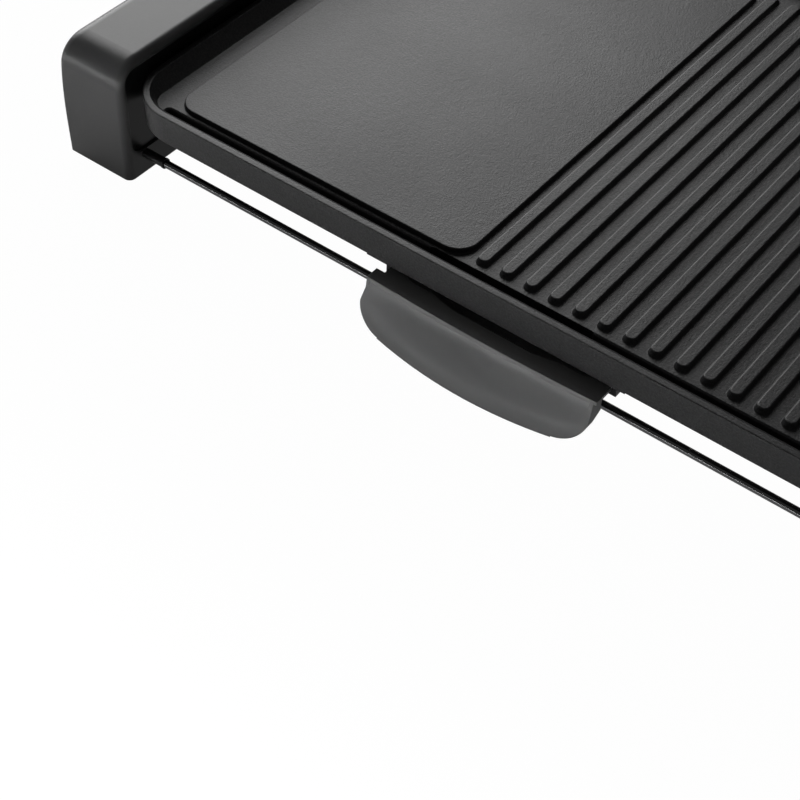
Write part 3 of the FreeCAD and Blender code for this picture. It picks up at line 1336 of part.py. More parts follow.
def make_probe():
    """Sensing bulb under the plate with its capillary tube to the thermostat, and the bulb's clip."""
    start = (BULB_END - s.bulb_length, MIDDLE, BULB_AXIS)
    bulb = cylinder("bulb", start, "x", s.bulb_radius, s.bulb_length)
    drop_start = BULB_END + s.capillary_bend
    drop_end = drop_start + s.capillary_bend
    turn = HOUSING_MIDDLE
    points = [
        (BULB_END, MIDDLE, BULB_AXIS), (drop_start, MIDDLE, BULB_AXIS), (drop_end, MIDDLE, CAPILLARY_Z),
        (turn, MIDDLE, CAPILLARY_Z), (turn, THERMOSTAT_BACK, CAPILLARY_Z),
    ]
    capillary = feature("capillary", tube(points, s.capillary_bend / 2, s.capillary_radius))
    node(fuse("probe", [bulb, capillary]), "thermostat_probe")
    x_span = (CLIP_START, CLIP_START + s.clip_width)
    below = UNDERSIDE - s.bulb_gap * 2 - s.bulb_radius * 2 - s.bracket_thickness
    clip_block = box("clip_block", x_span, (MIDDLE - CLIP_EDGE, MIDDLE + CLIP_EDGE), (below, UNDERSIDE))
    ear_end = CLIP_SCREW[1] + s.screw_head_radius
    ear_z = (UNDERSIDE - s.bracket_thickness, UNDERSIDE)
    ear = box("clip_ear", x_span, (MIDDLE + s.bulb_radius + s.bulb_gap, ear_end), ear_z)
    bore_half = s.bulb_radius + s.bulb_gap
    room_z = (below + s.bracket_thickness, UNDERSIDE)
    room = box("clip_room", x_span, (MIDDLE - bore_half, MIDDLE + bore_half), room_z)
    hole = cylinder("clip_hole", (*CLIP_SCREW, ear_z[0]), "z", SCREW_HOLE, s.bracket_thickness)
    node(cut("clip", fuse("clip_outer", [clip_block, ear]), [room, hole]), "probe_clip")


def make_lamp():
    x, z = HOUSING_MIDDLE, LAMP_Z
    gap = s.hole_clearance
    seat = HOUSING_FRONT + s.housing_wall
    flange_front = HOUSING_FRONT - s.lamp_flange_thickness
    flange = cylinder("lens_flange", (x, flange_front, z), "y", s.lamp_flange, s.lamp_flange_thickness)
    stem_end = seat + s.lamp_flange_thickness
    stem = cylinder("lens_stem", (x, flange_front, z), "y", s.lamp_radius, stem_end - flange_front)
    node(fuse("lens", [flange, stem]), "pilot_lamp_lens")
    case = cylinder("lamp_case", (x, seat, z), "y", s.lamp_flange, s.lamp_body_length)
    pocket = cylinder("lamp_pocket", (x, seat, z), "y", s.lamp_radius + gap, s.lamp_flange_thickness + gap)
    node(cut("lamp", case, [pocket]), "pilot_lamp_body")


# ---------------------------------------------------------------- electrical parts in the right housing
BLOCK_Y = (MIDDLE - s.block_length / 2, MIDDLE + s.block_length / 2)
BLOCK_EARS_Y = (BLOCK_Y[0] - s.block_ear, BLOCK_Y[1] + s.block_ear)
BLOCK_SCREWS = [
    (HOUSING_MIDDLE, BLOCK_Y[0] - s.block_ear / 2),
    (HOUSING_MIDDLE, BLOCK_Y[1] + s.block_ear / 2),
]
BLOCK_LEAD_Z = BASE_TOP + s.block_lead_height
INLET_BACK = HOUSING_BACK + s.inlet_flange_thickness
INLET_END = HOUSING_BACK - s.inlet_body_depth


def make_inlet():
    """Recessed appliance inlet with three blades, open to the rear."""
    half = s.inlet_width / 2
    flange_z = (s.inlet_height - s.inlet_flange_height / 2, s.inlet_height + s.inlet_flange_height / 2)
    flange_x = (HOUSING_MIDDLE - half, HOUSING_MIDDLE + half)
    flange = box("inlet_flange", flange_x, (HOUSING_BACK, INLET_BACK), flange_z)
    shell = box("inlet_shell", INLET_X, (INLET_END, HOUSING_BACK), INLET_Z)
    mouth_half = s.inlet_mouth_width / 2
    mouth_x = (HOUSING_MIDDLE - mouth_half, HOUSING_MIDDLE + mouth_half)
    mouth_z = (s.inlet_height - s.inlet_mouth_height / 2, s.inlet_height + s.inlet_mouth_height / 2)
    mouth_floor = INLET_BACK - s.inlet_mouth_depth
    mouth = box("inlet_mouth", mouth_x, (mouth_floor, INLET_BACK), mouth_z)
    node(cut("inlet", fuse("inlet_outer", [flange, shell]), [mouth]), "inlet_socket")
    blades = []
    for number, offset in enumerate((-1.0, 0.0, 1.0), start=1):
        x = HOUSING_MIDDLE + s.pin_spacing * offset
        x_span = (x - s.pin_thickness / 2, x + s.pin_thickness / 2)
        z_span = (s.inlet_height - s.pin_width / 2, s.inlet_height + s.pin_width / 2)
        blades.append(box(f"blade_{number}", x_span, (mouth_floor, mouth_floor + s.pin_length), z_span))
    node(group("inlet_blades", blades), "inlet_pins")


def make_wiring():
    half = s.block_width / 2
    x_span = (HOUSING_MIDDLE - half, HOUSING_MIDDLE + half)
    block = box("block_case", x_span, BLOCK_Y, (BASE_TOP, BASE_TOP + s.block_height))
    ears = box("block_ears", x_span, BLOCK_EARS_Y, (BASE_TOP, BASE_TOP + s.block_ear_height))
    holes = []
    for number, (x, y) in enumerate(BLOCK_SCREWS, start=1):
        base = (x, y, BASE_TOP)
        holes.append(cylinder(f"block_hole_{number}", base, "z", SCREW_HOLE, s.block_ear_height))
    node(cut("block", fuse("block_outer", [block, ears]), holes), "terminal_block")

    fuse_start = MIDDLE + s.boss_spread
    fuse_end = fuse_start + s.fuse_length
    fuse_base = (HOUSING_MIDDLE, fuse_start, ELEMENT_AXIS)
    node(cylinder("fuse_case", fuse_base, "y", s.fuse_radius, s.fuse_length), "thermal_fuse")
    spread = s.lead_spread
    rise = BLOCK_Y[1] + s.lead_run
    back_rise = rise + s.lead_run
    x = HOUSING_MIDDLE
    leads = {}
    for label, offset in (("live", -1.0), ("neutral", 1.0)):
        lead_x = x + spread * offset
        leads[label] = [
            (lead_x, INLET_END, s.inlet_height), (lead_x, back_rise, s.inlet_height),
            (lead_x, back_rise, BLOCK_LEAD_Z), (lead_x, BLOCK_Y[1], BLOCK_LEAD_Z),
        ]
    climb = BLOCK_Y[0] - s.lead_run * 2
    leads["supply"] = [
        (x - spread, BLOCK_Y[0], BLOCK_LEAD_Z), (x - spread, climb, BLOCK_LEAD_Z),
        (x - spread, climb, s.inlet_height), (x - spread, THERMOSTAT_BACK, s.inlet_height),
    ]
    leads["switched"] = [
        (x + spread, THERMOSTAT_BACK, ELEMENT_AXIS), (x + spread, ELEMENT_LEGS["front"], ELEMENT_AXIS),
        (PIN_END, ELEMENT_LEGS["front"], ELEMENT_AXIS),
    ]
    leads["to_fuse"] = [
        (x, BLOCK_Y[1], BLOCK_LEAD_Z), (x, rise, BLOCK_LEAD_Z),
        (x, rise, ELEMENT_AXIS), (x, fuse_start, ELEMENT_AXIS),
    ]
    leads["from_fuse"] = [
        (x, fuse_end, ELEMENT_AXIS), (x, ELEMENT_LEGS["rear"], ELEMENT_AXIS),
        (PIN_END, ELEMENT_LEGS["rear"], ELEMENT_AXIS),
    ]
    solids = []
    for label, points in leads.items():
        solids.append(feature("lead_" + label, tube(points, s.lead_bend, s.lead_radius)))
    node(group("lead_set", solids), "internal_leads")


# ---------------------------------------------------------------- build and export
make_plate()
make_element()
for side_label, side_sign in SIDES.items():
    make_cover(side_label, side_sign)
    make_panel(side_label, side_sign)
    make_base(side_label, side_sign)
make_feet()
make_rods()
make_bushes()
make_brackets()
make_runners()
make_tray()
make_knob()
make_thermostat()
make_probe()
make_lamp()
make_inlet()
make_wiring()
make_screws()
DOC.recompute()

for item in DOC.Objects:
    if "Invalid" in item.State or "Error" in item.State:
        raise RuntimeError(f"{item.Name} did not compute: {item.State}")
os.makedirs("parts", exist_ok=True)
for item in NODES:
    shape = item.Shape
    if shape.isNull() or not shape.isValid() or not shape.Solids:
        raise RuntimeError(f"{item.Label} has no valid solid")
    shape.exportStep(f"parts/{item.Label}.step")
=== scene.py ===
"""Looks of the electric table grill: materials, small detail pieces, floor, lamps and camera."""

import json
import math

import bmesh
import bpy
from mathutils import Matrix, Vector


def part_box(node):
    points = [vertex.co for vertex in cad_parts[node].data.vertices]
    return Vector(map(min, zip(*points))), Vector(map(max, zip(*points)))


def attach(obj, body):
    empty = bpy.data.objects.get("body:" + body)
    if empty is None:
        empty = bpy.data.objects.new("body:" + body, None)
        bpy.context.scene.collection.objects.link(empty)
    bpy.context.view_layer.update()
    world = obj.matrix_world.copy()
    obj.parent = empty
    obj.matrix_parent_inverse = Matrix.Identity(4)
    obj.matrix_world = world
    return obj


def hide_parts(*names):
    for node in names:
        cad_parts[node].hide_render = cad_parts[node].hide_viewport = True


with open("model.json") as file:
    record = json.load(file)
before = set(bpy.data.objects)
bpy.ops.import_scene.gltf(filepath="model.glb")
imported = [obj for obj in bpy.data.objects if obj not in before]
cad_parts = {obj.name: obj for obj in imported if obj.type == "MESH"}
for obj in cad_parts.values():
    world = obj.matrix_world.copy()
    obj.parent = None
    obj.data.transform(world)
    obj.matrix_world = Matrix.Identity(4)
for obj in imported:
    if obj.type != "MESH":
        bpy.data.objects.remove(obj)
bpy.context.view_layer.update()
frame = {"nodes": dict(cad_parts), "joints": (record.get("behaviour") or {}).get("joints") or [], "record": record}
NODES = frame["nodes"]
SCENE = bpy.context.scene


# ---------------------------------------------------------------- materials
class Nodes:
    """Short way to write a node material."""

    def __init__(self, name):
        self.material = bpy.data.materials.new(name)
        self.material.use_nodes = True
        self.tree = self.material.node_tree
        self.shader = self.tree.nodes["Principled BSDF"]
        self.place = self.add("ShaderNodeTexCoord").outputs["Object"]

    def add(self, kind, **settings):
        node = self.tree.nodes.new(kind)
        for name, value in settings.items():
            setattr(node, name, value)
        return node

    def link(self, source, target):
        self.tree.links.new(source, target)

    def noise(self, scale, detail=3.0, rough=0.5, stretch=None):
        place = self.place
        if stretch:
            mapping = self.add("ShaderNodeMapping")
            mapping.inputs["Scale"].default_value = stretch
            self.link(place, mapping.inputs["Vector"])
            place = mapping.outputs["Vector"]
        noise = self.add("ShaderNodeTexNoise")
        noise.inputs["Scale"].default_value = scale
        noise.inputs["Detail"].default_value = detail
        noise.inputs["Roughness"].default_value = rough
        self.link(place, noise.inputs["Vector"])
        return noise.outputs["Fac"]

    def spread(self, value, low, high, start=0.3, end=0.7):
        """Map a noise's middle range, start to end, onto low to high."""
        ramp = self.add("ShaderNodeMapRange")
        ramp.inputs["From Min"].default_value = start
        ramp.inputs["From Max"].default_value = end
        ramp.inputs["To Min"].default_value = low
        ramp.inputs["To Max"].default_value = high
        self.link(value, ramp.inputs["Value"])
        return ramp.outputs["Result"]

    def colour(self, factor, first, second):
        """Base colour between two, by a factor."""
        mix = self.add("ShaderNodeMix", data_type="RGBA")
        mix.inputs["A"].default_value = (*first, 1)
        mix.inputs["B"].default_value = (*second, 1)
        self.link(factor, mix.inputs["Factor"])
        self.link(mix.outputs["Result"], self.shader.inputs["Base Color"])

    def roughness(self, factor):
        self.link(factor, self.shader.inputs["Roughness"])

    def surface(self, bumps, bevel=0.0):
        """Chain bumps of (height, strength, distance), over softened edges."""
        normal = None
        if bevel:
            edge = self.add("ShaderNodeBevel", samples=8)
            edge.inputs["Radius"].default_value = bevel
            normal = edge.outputs["Normal"]
        for height, strength, distance in bumps:
            bump = self.add("ShaderNodeBump")
            bump.inputs["Strength"].default_value = strength
            bump.inputs["Distance"].default_value = distance
            self.link(height, bump.inputs["Height"])
            if normal:
                self.link(normal, bump.inputs["Normal"])
            normal = bump.outputs["Normal"]
        self.link(normal, self.shader.inputs["Normal"])

    def set(self, name, value):
        self.shader.inputs[name].default_value = value


PLAIN_CLOUD = 18.0        # scale of the slow change of colour on plain surfaces
PLAIN_GRAIN = 900.0       # scale of their fine grain
PLAIN_DEPTH = 0.00012     # depth of its bumps


def plain(name, dark, light, rough, grain=PLAIN_GRAIN, bump=0.15, bevel=0.0004):
    """Moulded or coated surface: colour and roughness vary a little over a fine grain."""
    m = Nodes(name)
    broad = m.noise(PLAIN_CLOUD, detail=2.0)
    fine = m.noise(grain, detail=2.0)
    m.colour(m.spread(broad, 0.0, 1.0), dark, light)
    m.roughness(m.spread(fine, *rough))
    m.surface([(fine, bump, PLAIN_DEPTH)], bevel)
    return m.material


PLATE_CLOUD = 7.0         # noise scales of the coating's worn patches, orange peel and grains
PLATE_PEEL = 260.0
PLATE_SPECK = 900.0
PLATE_EDGE = 0.0007       # how far its edges are softened


def coated_plate():
    """Matt non-stick coating: fine grains, soft orange peel and cloudy, faintly worn patches."""
    m = Nodes("nonstick_coating")
    cloud = m.noise(PLATE_CLOUD, detail=4.0, rough=0.6)
    speck = m.noise(PLATE_SPECK, detail=2.0, rough=0.7)
    peel = m.noise(PLATE_PEEL, rough=0.65)
    grains = m.spread(speck, 0.0, 1.0, start=0.38, end=0.68)
    m.colour(grains, (0.006, 0.006, 0.0065), (0.026, 0.026, 0.0265))
    m.roughness(m.spread(cloud, 0.38, 0.47))
    m.surface([(peel, 0.35, 0.0004), (speck, 0.9, 0.0002)], PLATE_EDGE)
    return m.material


METAL_CLOUD = 25.0        # scale of the slow change of colour on metals
METAL_DEPTH = 0.00005     # depth of their fine lines
METAL_EDGE = 0.0002       # how far their edges are softened
EVEN = (1, 1, 1)          # grain that isn't stretched


def metal(name, dark, light, rough, stretch=EVEN, grain=400.0, bump=0.1):
    """Metal with fine lines, drawn out where the grain is stretched."""
    m = Nodes(name)
    line = m.noise(grain, rough=0.6, stretch=stretch)
    cloud = m.noise(METAL_CLOUD)
    m.colour(m.spread(cloud, 0.0, 1.0), dark, light)
    m.roughness(m.spread(line, *rough))
    m.surface([(line, bump, METAL_DEPTH)], METAL_EDGE)
    m.set("Metallic", 1.0)
    return m.material


LAMP_FACETS = 350.0


def lamp_red():
    """Clear red plastic with small facets."""
    m = Nodes("lamp_red")
    facet = m.noise(LAMP_FACETS, detail=1.0)
    m.colour(m.spread(facet, 0.0, 1.0), (0.45, 0.02, 0.01), (0.62, 0.05, 0.02))
    m.surface([(facet, 0.2, 0.0002)])
    m.set("Roughness", 0.12)
    m.set("Transmission Weight", 0.35)
    return m.material


def neutral(value):
    return (value,) * 3


DARK_GREY = (0.044, 0.044, 0.0445), (0.056, 0.056, 0.0565)
GREY = (0.265, 0.265, 0.266), (0.300, 0.300, 0.301)
BLACK = (0.010, 0.010, 0.0105), (0.016, 0.016, 0.0165)
GLOSS_BLACK = neutral(0.004), neutral(0.006)
ENAMEL_BLACK = neutral(0.004), neutral(0.007)
BASE_GREY = neutral(0.030), neutral(0.042)
RUBBER = neutral(0.016), neutral(0.03)
CHROME = (0.20, 0.20, 0.205), (0.26, 0.26, 0.265)
ZINC = (0.45, 0.45, 0.46), neutral(0.58)
DIAL_GREY = (0.55, 0.55, 0.56), (0.66, 0.66, 0.67)
STEEL = (0.5, 0.5, 0.51), neutral(0.62)
SHEATH = (0.18, 0.16, 0.15), (0.30, 0.27, 0.24)
PHENOLIC = (0.07, 0.035, 0.018), (0.12, 0.06, 0.03)
COPPER = (0.55, 0.28, 0.17), (0.70, 0.38, 0.24)
CREAM = (0.55, 0.53, 0.48), (0.66, 0.64, 0.58)
PALE_CREAM = (0.68, 0.67, 0.62), (0.78, 0.77, 0.72)
FUSE_GREY = neutral(0.6), neutral(0.7)
SLEEVE_RED = (0.32, 0.02, 0.015), (0.42, 0.04, 0.03)
BRASS = (0.62, 0.48, 0.22), (0.74, 0.60, 0.32)
WHITE = (0.70, 0.70, 0.69), (0.80, 0.80, 0.79)

MATERIALS = {
    "griddle_plate": coated_plate(),
    "end_cover": plain("satin_plastic", *DARK_GREY, rough=(0.32, 0.40), bevel=0.0006),
    "inner_panel": plain("gloss_black_plastic", *GLOSS_BLACK, rough=(0.28, 0.34), bump=0.06),
    "base_cover": plain("base_plastic", *BASE_GREY, rough=(0.45, 0.6)),
    "foot": plain("foot_rubber", *RUBBER, rough=(0.7, 0.85), grain=1400.0, bump=0.3),
    "rod": metal("dark_chrome_rod", *CHROME, rough=(0.10, 0.18), stretch=(1, 40, 40)),
    "rod_bush": plain("bush_plastic", *BLACK, rough=(0.3, 0.38)),
    "bracket": metal("zinc_steel", *ZINC, rough=(0.3, 0.45)),
    "runner": plain("runner_enamel", *ENAMEL_BLACK, rough=(0.35, 0.45), bevel=0.0003),
    "drip_tray": plain("tray_plastic", *GREY, rough=(0.34, 0.42), bevel=0.0007),
    "knob": plain("knob_plastic", *BLACK, rough=(0.34, 0.44)),
    "dial": metal("dial_metal", *DIAL_GREY, rough=(0.28, 0.4), stretch=(40, 1, 1)),
    "steel": metal("plated_steel", *STEEL, rough=(0.22, 0.34)),
    "heating_element": metal("heater_sheath", *SHEATH, rough=(0.4, 0.55), grain=250.0, bump=0.3),
    "thermostat": plain("phenolic", *PHENOLIC, rough=(0.4, 0.5)),
    "copper": metal("copper_tube", *COPPER, rough=(0.2, 0.35)),
    "lens": lamp_red(),
    "lamp_body": plain("lamp_body", *CREAM, rough=(0.4, 0.5)),
    "block": plain("block_plastic", *PALE_CREAM, rough=(0.4, 0.5)),
    "fuse": metal("fuse_case", *FUSE_GREY, rough=(0.25, 0.4)),
    "leads": plain("silicone_sleeve", *SLEEVE_RED, rough=(0.5, 0.6)),
    "inlet": plain("inlet_plastic", *BLACK, rough=(0.3, 0.38)),
    "brass": metal("brass_blade", *BRASS, rough=(0.2, 0.3), stretch=(1, 1, 40)),
}
PRINT = plain("white_print", *WHITE, rough=(0.45, 0.55), bevel=0.0)

for part in frame["record"]["subparts"]:
    thing = NODES[part["node"]]
    thing.data.materials.clear()
    thing.data.materials.append(MATERIALS[part["material_slot"]])


# ---------------------------------------------------------------- detail pieces
def piece(name, body, slot_name, mesh, material, *stands_for):
    """Put a mesh in the scene, riding on a body and standing for the given nodes."""
    thing = bpy.data.objects.new(name, mesh)
    SCENE.collection.objects.link(thing)
    mesh.materials.append(material)
    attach(thing, body)
    if stands_for:
        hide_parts(*stands_for)


def bridge(bm, rows):
    """Faces between neighbouring closed rows of points; a row of one point is a pole."""
    for low, high in zip(rows, rows[1:]):
        count = max(len(low), len(high))
        for k in range(count):
            after = k + 1
            corners = [
                low[k % len(low)],
                low[after % len(low)],
                high[after % len(high)],
                high[k % len(high)],
            ]
            bm.faces.new(list(dict.fromkeys(corners)))


def turned(bm, rings, count, to_place, shape=None):
    """Add a closed turned solid; each ring is (height, radius), a radius of zero is a pole."""
    rows = []
    for number, (height, radius) in enumerate(rings):
        if radius == 0:
            rows.append([bm.verts.new(to_place(0.0, 0.0, height))])
            continue
        row = []
        for k in range(count):
            angle = 2 * math.pi * k / count
            r, h = shape(number, angle, radius, height) if shape else (radius, height)
            row.append(bm.verts.new(to_place(r * math.cos(angle), r * math.sin(angle), h)))
        rows.append(row)
    bridge(bm, rows)


SHARP_ANGLE = 35.0        # edges sharper than this stay sharp


def finished(bm, name):
    """Mesh with outward faces, smooth shading and sharp edges."""
    bmesh.ops.recalc_face_normals(bm, faces=bm.faces)
    mesh = bpy.data.meshes.new(name)
    bm.to_mesh(mesh)
    bm.free()
    mesh.shade_smooth()
    mesh.set_sharp_from_angle(angle=math.radians(SHARP_ANGLE))
    return mesh


KNOB_LOW, KNOB_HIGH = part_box("control_knob")
KNOB_MIDDLE = (KNOB_LOW + KNOB_HIGH) / 2
KNOB_RADIUS = (KNOB_HIGH.x - KNOB_LOW.x) / 2
KNOB_FACE, KNOB_BACK = KNOB_LOW.y, KNOB_HIGH.y
KNOB_JOINT = next(joint for joint in frame["joints"] if joint["name"] == "knob_turn")
TURN_WAY = 1.0 if KNOB_JOINT["axis"][1] > 0 else -1.0       # 1 is clockwise, seen from the front


def on_front(x, up, depth):
    """A place by the knob: across and up from its middle, and back from its face."""
    return Vector((KNOB_MIDDLE.x + x, KNOB_FACE + depth, KNOB_MIDDLE.z + up))


FLUTES = 30
FLUTE_SIDES = 8           # points around the knob for each flute
FLUTE_DEPTH = 0.00045
FLUTE_POWER = 0.6         # below 1 the ridges between the flutes are sharp
KNOB_WALL = 0.0022
KNOB_HUB, KNOB_BORE = 0.0052, 0.0032
HUB_SETBACK = 0.0030      # how far the hub ends in front of the skirt's back
FACE = ((0.0009, 0.0), (0.0009, 0.35), (0.0007, 0.70))              # depth, share of the radius
FACE_DEPTH = 0.0006       # the face's rim behind the knob's front plane
FACE_EDGE = 0.0016        # radius of the rounded edge around the face
FACE_EDGE_STEPS = 6
FACE_INSET = 0.0036       # where that edge starts, in from the skirt
GRIP = ((0.0060, 0.0018), (0.0098, 0.0014))                         # depth, inset
SKIRT = ((0.0110, 0.0010), (0.0118, 0.0002), (0.0121, 0.0))         # depth, inset


def make_knob():
    """Fluted grip on a thin skirt, hollow behind."""
    radius = KNOB_RADIUS
    back = KNOB_BACK - KNOB_FACE
    rings = [(depth, radius * share) for depth, share in FACE]
    rings.append((FACE_DEPTH, radius - FACE_INSET))
    first_grip = len(rings) + 1
    for step in range(1, FACE_EDGE_STEPS + 1):
        angle = math.pi / 2 * step / FACE_EDGE_STEPS
        depth = FACE_DEPTH + FACE_EDGE * (1 - math.cos(angle))
        rings.append((depth, radius - FACE_INSET + FACE_EDGE * math.sin(angle)))
    rings += [(depth, radius - inset) for depth, inset in GRIP]
    last_grip = len(rings) - 1
    rings += [(depth, radius - inset) for depth, inset in SKIRT]
    floor = KNOB_WALL + FACE_DEPTH
    hub_end = back - HUB_SETBACK
    rings += [(back, radius), (back, radius - KNOB_WALL), (floor, radius - KNOB_WALL)]
    rings += [(floor, KNOB_HUB), (hub_end, KNOB_HUB), (hub_end, KNOB_BORE)]
    rings += [(floor, KNOB_BORE), (floor, 0.0)]

    def grip(number, angle, ring_radius, height):
        if first_grip <= number <= last_grip:
            wave = 0.5 - 0.5 * math.cos(FLUTES * angle)
            ring_radius -= FLUTE_DEPTH * wave ** FLUTE_POWER
        return ring_radius, height

    bm = bmesh.new()
    turned(bm, rings, FLUTES * FLUTE_SIDES, on_front, grip)
    mesh = finished(bm, "fluted_knob")
    piece("fluted_knob", "knob", "knob", mesh, MATERIALS["knob"], "control_knob")


POINTER_HALF = 0.0009
POINTER_LAYERS = ((0.0, 0.0010), (0.0, 0.0003), (0.00025, 0.0001))   # inset, depth
POINTER_INSET = 0.0030    # the tip's distance from the skirt's edge
POINTER_ROOT = 0.16       # where the line starts, as a share of the knob's radius
POINTER_END_STEPS = 8


def make_pointer():
    """Raised white line with round ends on the knob's face."""
    half = POINTER_HALF
    tip = KNOB_RADIUS - POINTER_INSET - half
    root = KNOB_RADIUS * POINTER_ROOT + half
    bm = bmesh.new()
    rows = []
    for inset, depth in POINTER_LAYERS:
        row = []
        reach = half - inset
        for start, middle in ((0.0, tip), (math.pi, root)):
            for step in range(POINTER_END_STEPS + 1):
                angle = start + math.pi * step / POINTER_END_STEPS
                x, up = reach * math.cos(angle), middle + reach * math.sin(angle)
                row.append(bm.verts.new(on_front(x, up, depth)))
        rows.append(row)
    bridge(bm, rows)
    bm.faces.new(rows[0])
    bm.faces.new(rows[-1])
    piece("knob_pointer", "knob", "knob", finished(bm, "knob_pointer"), PRINT)


DIAL_STEPS = 5            # heat settings, evenly over the knob's travel
DIAL_SWEEP = KNOB_JOINT["range_deg"][1]
TICKS_PER_STEP = 4
MAIN_TICK = (0.0017, 0.00032)       # length, half width
SMALL_TICK = (0.0011, 0.00016)
TICK_EDGE_GAP = 0.0003
TICK_LAYERS = ((0.0004, 1.0), (-0.00004, 0.7))       # depth from the dial's face, share of width
BOX_FACES = ((0, 1, 2, 3), (4, 5, 6, 7), (0, 1, 5, 4), (1, 2, 6, 5), (2, 3, 7, 6), (3, 0, 4, 7))
NUMBER_SIZE = 0.0046
NUMBER_HEIGHT = 0.00008
NUMBER_GAP = 0.0022       # from the dial's edge to the numbers' middle


def dial_angle(step):
    """Angle to the right of straight up for a heat setting, by the way the knob turns."""
    return math.radians(DIAL_SWEEP * step / DIAL_STEPS * TURN_WAY)


def make_dial_ticks(face, edge):
    bm = bmesh.new()
    for step in range(DIAL_STEPS * TICKS_PER_STEP + 1):
        length, half = SMALL_TICK if step % TICKS_PER_STEP else MAIN_TICK
        angle = dial_angle(step / TICKS_PER_STEP)
        across = Vector((math.cos(angle), -math.sin(angle)))
        along = Vector((math.sin(angle), math.cos(angle)))
        inner, outer = edge - length, edge - TICK_EDGE_GAP
        corners = []
        for depth, share in TICK_LAYERS:
            for side, reach in ((-1, inner), (1, inner), (1, outer), (-1, outer)):
                spot = across * (side * half * share) + along * reach
                corners.append(bm.verts.new(on_front(spot.x, spot.y, face + depth)))
        for ids in BOX_FACES:
            bm.faces.new([corners[k] for k in ids])
    piece("dial_ticks", "frame", "dial", finished(bm, "dial_ticks"), MATERIALS["knob"])


def make_dial_numbers(edge):
    """Numbers 1 to 5 printed on the housing around the dial."""
    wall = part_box("right_end_cover")[0].y - KNOB_FACE
    reach = edge + NUMBER_GAP
    for step in range(1, DIAL_STEPS + 1):
        angle = dial_angle(step)
        text = bpy.data.curves.new(f"dial_number_{step}", "FONT")
        text.body = str(step)
        text.size = NUMBER_SIZE
        text.extrude = NUMBER_HEIGHT
        text.align_x = "CENTER"
        text.align_y = "CENTER"
        text.materials.append(PRINT)
        thing = bpy.data.objects.new(f"dial_number_{step}", text)
        spot = on_front(reach * math.sin(angle), reach * math.cos(angle), wall)
        thing.matrix_world = Matrix.Translation(spot) @ Matrix.Rotation(math.pi / 2, 4, "X")
        SCENE.collection.objects.link(thing)
        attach(thing, "frame")


def make_dial_marks():
    low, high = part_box("dial_plate")
    edge = (high.x - low.x) / 2
    make_dial_ticks(low.y - KNOB_FACE, edge)
    make_dial_numbers(edge)


LENS_STEM = 0.0032
LENS_RIM = 0.0012         # thickness of the rim
LENS_DOME = 0.0034        # radius of the dome
LENS_RINGS = 9
LENS_RING_DEPTH = 0.00006
LENS_FALL = 0.00045       # how far the dome's edge lies behind its top
LENS_TOP = 0.00005
LENS_GROOVE = ((0.00070, 0.0037), (0.00045, 0.0039))       # depth, radius
LENS_BEVEL = (0.00015, 0.0002)      # depth and width of the bevel on the rim's edge
LENS_SIDES = 64


def make_lens():
    """Domed lens with fine rings, over a plain rim."""
    low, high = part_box("pilot_lamp_lens")
    middle = (low + high) / 2
    rim = (high.x - low.x) / 2
    depth = high.y - low.y
    rings = [(LENS_TOP, 0.0)]
    for step in range(1, LENS_RINGS + 1):
        share = step / LENS_RINGS
        groove = LENS_RING_DEPTH if step % 2 else 0.0
        rings.append((LENS_FALL * share ** 2 + groove, LENS_DOME * share))
    rings += LENS_GROOVE
    fall, width = LENS_BEVEL
    rings += [(LENS_FALL, rim - width), (LENS_FALL + fall, rim), (LENS_RIM, rim)]
    rings += [(LENS_RIM, LENS_STEM), (depth, LENS_STEM), (depth, 0.0)]

    def to_place(x, up, h):
        return Vector((middle.x + x, low.y + h, middle.z + up))

    bm = bmesh.new()
    turned(bm, rings, LENS_SIDES, to_place)
    mesh = finished(bm, "lamp_lens_domed")
    piece("lamp_lens_domed", "frame", "lens", mesh, MATERIALS["lens"], "pilot_lamp_lens")


def islands(node):
    """Points of each separate solid in one node."""
    bm = bmesh.new()
    bm.from_mesh(NODES[node].data)
    bmesh.ops.remove_doubles(bm, verts=bm.verts, dist=0.000001)
    left = set(bm.verts)
    groups = []
    while left:
        stack = [left.pop()]
        points = []
        while stack:
            vert = stack.pop()
            points.append(vert.co.copy())
            for edge in vert.link_edges:
                other = edge.other_vert(vert)
                if other in left:
                    left.remove(other)
                    stack.append(other)
        groups.append(points)
    bm.free()
    return sorted(groups, key=lambda g: tuple(round(v, 5) for v in sum(g, Vector()) / len(g)))


HEAD_HEIGHT = 0.0018
HEAD_CROWN = 0.0007       # how far the head's edge lies below its flat top
HEAD_STEPS = 5            # rings over the crown
TOP_STEPS = 8             # rings over the flat top
HEAD_LIMIT = 0.9          # points further out than this share of the radius are the head's
RECESS_SHARE = 0.62       # radius of the flat top and the cross, in heads
RECESS_DEPTH = 0.0009
SLOT_HALF = 0.17          # half width of the cross's arms, in heads
SLOT_SLOPE = 0.08         # width of the sloping sides of the arms, and of their ends
SLOT_END = 0.12
THREAD_PITCH = 0.0007
THREAD_ROOT = 0.82        # root radius, in shank radii
THREAD_RUNOUT = 0.0004
TIP_SHARE = 0.7           # tip radius, in shank radii
SCREW_SIDES = 48


def clamp(value):
    return max(0.0, min(1.0, value))


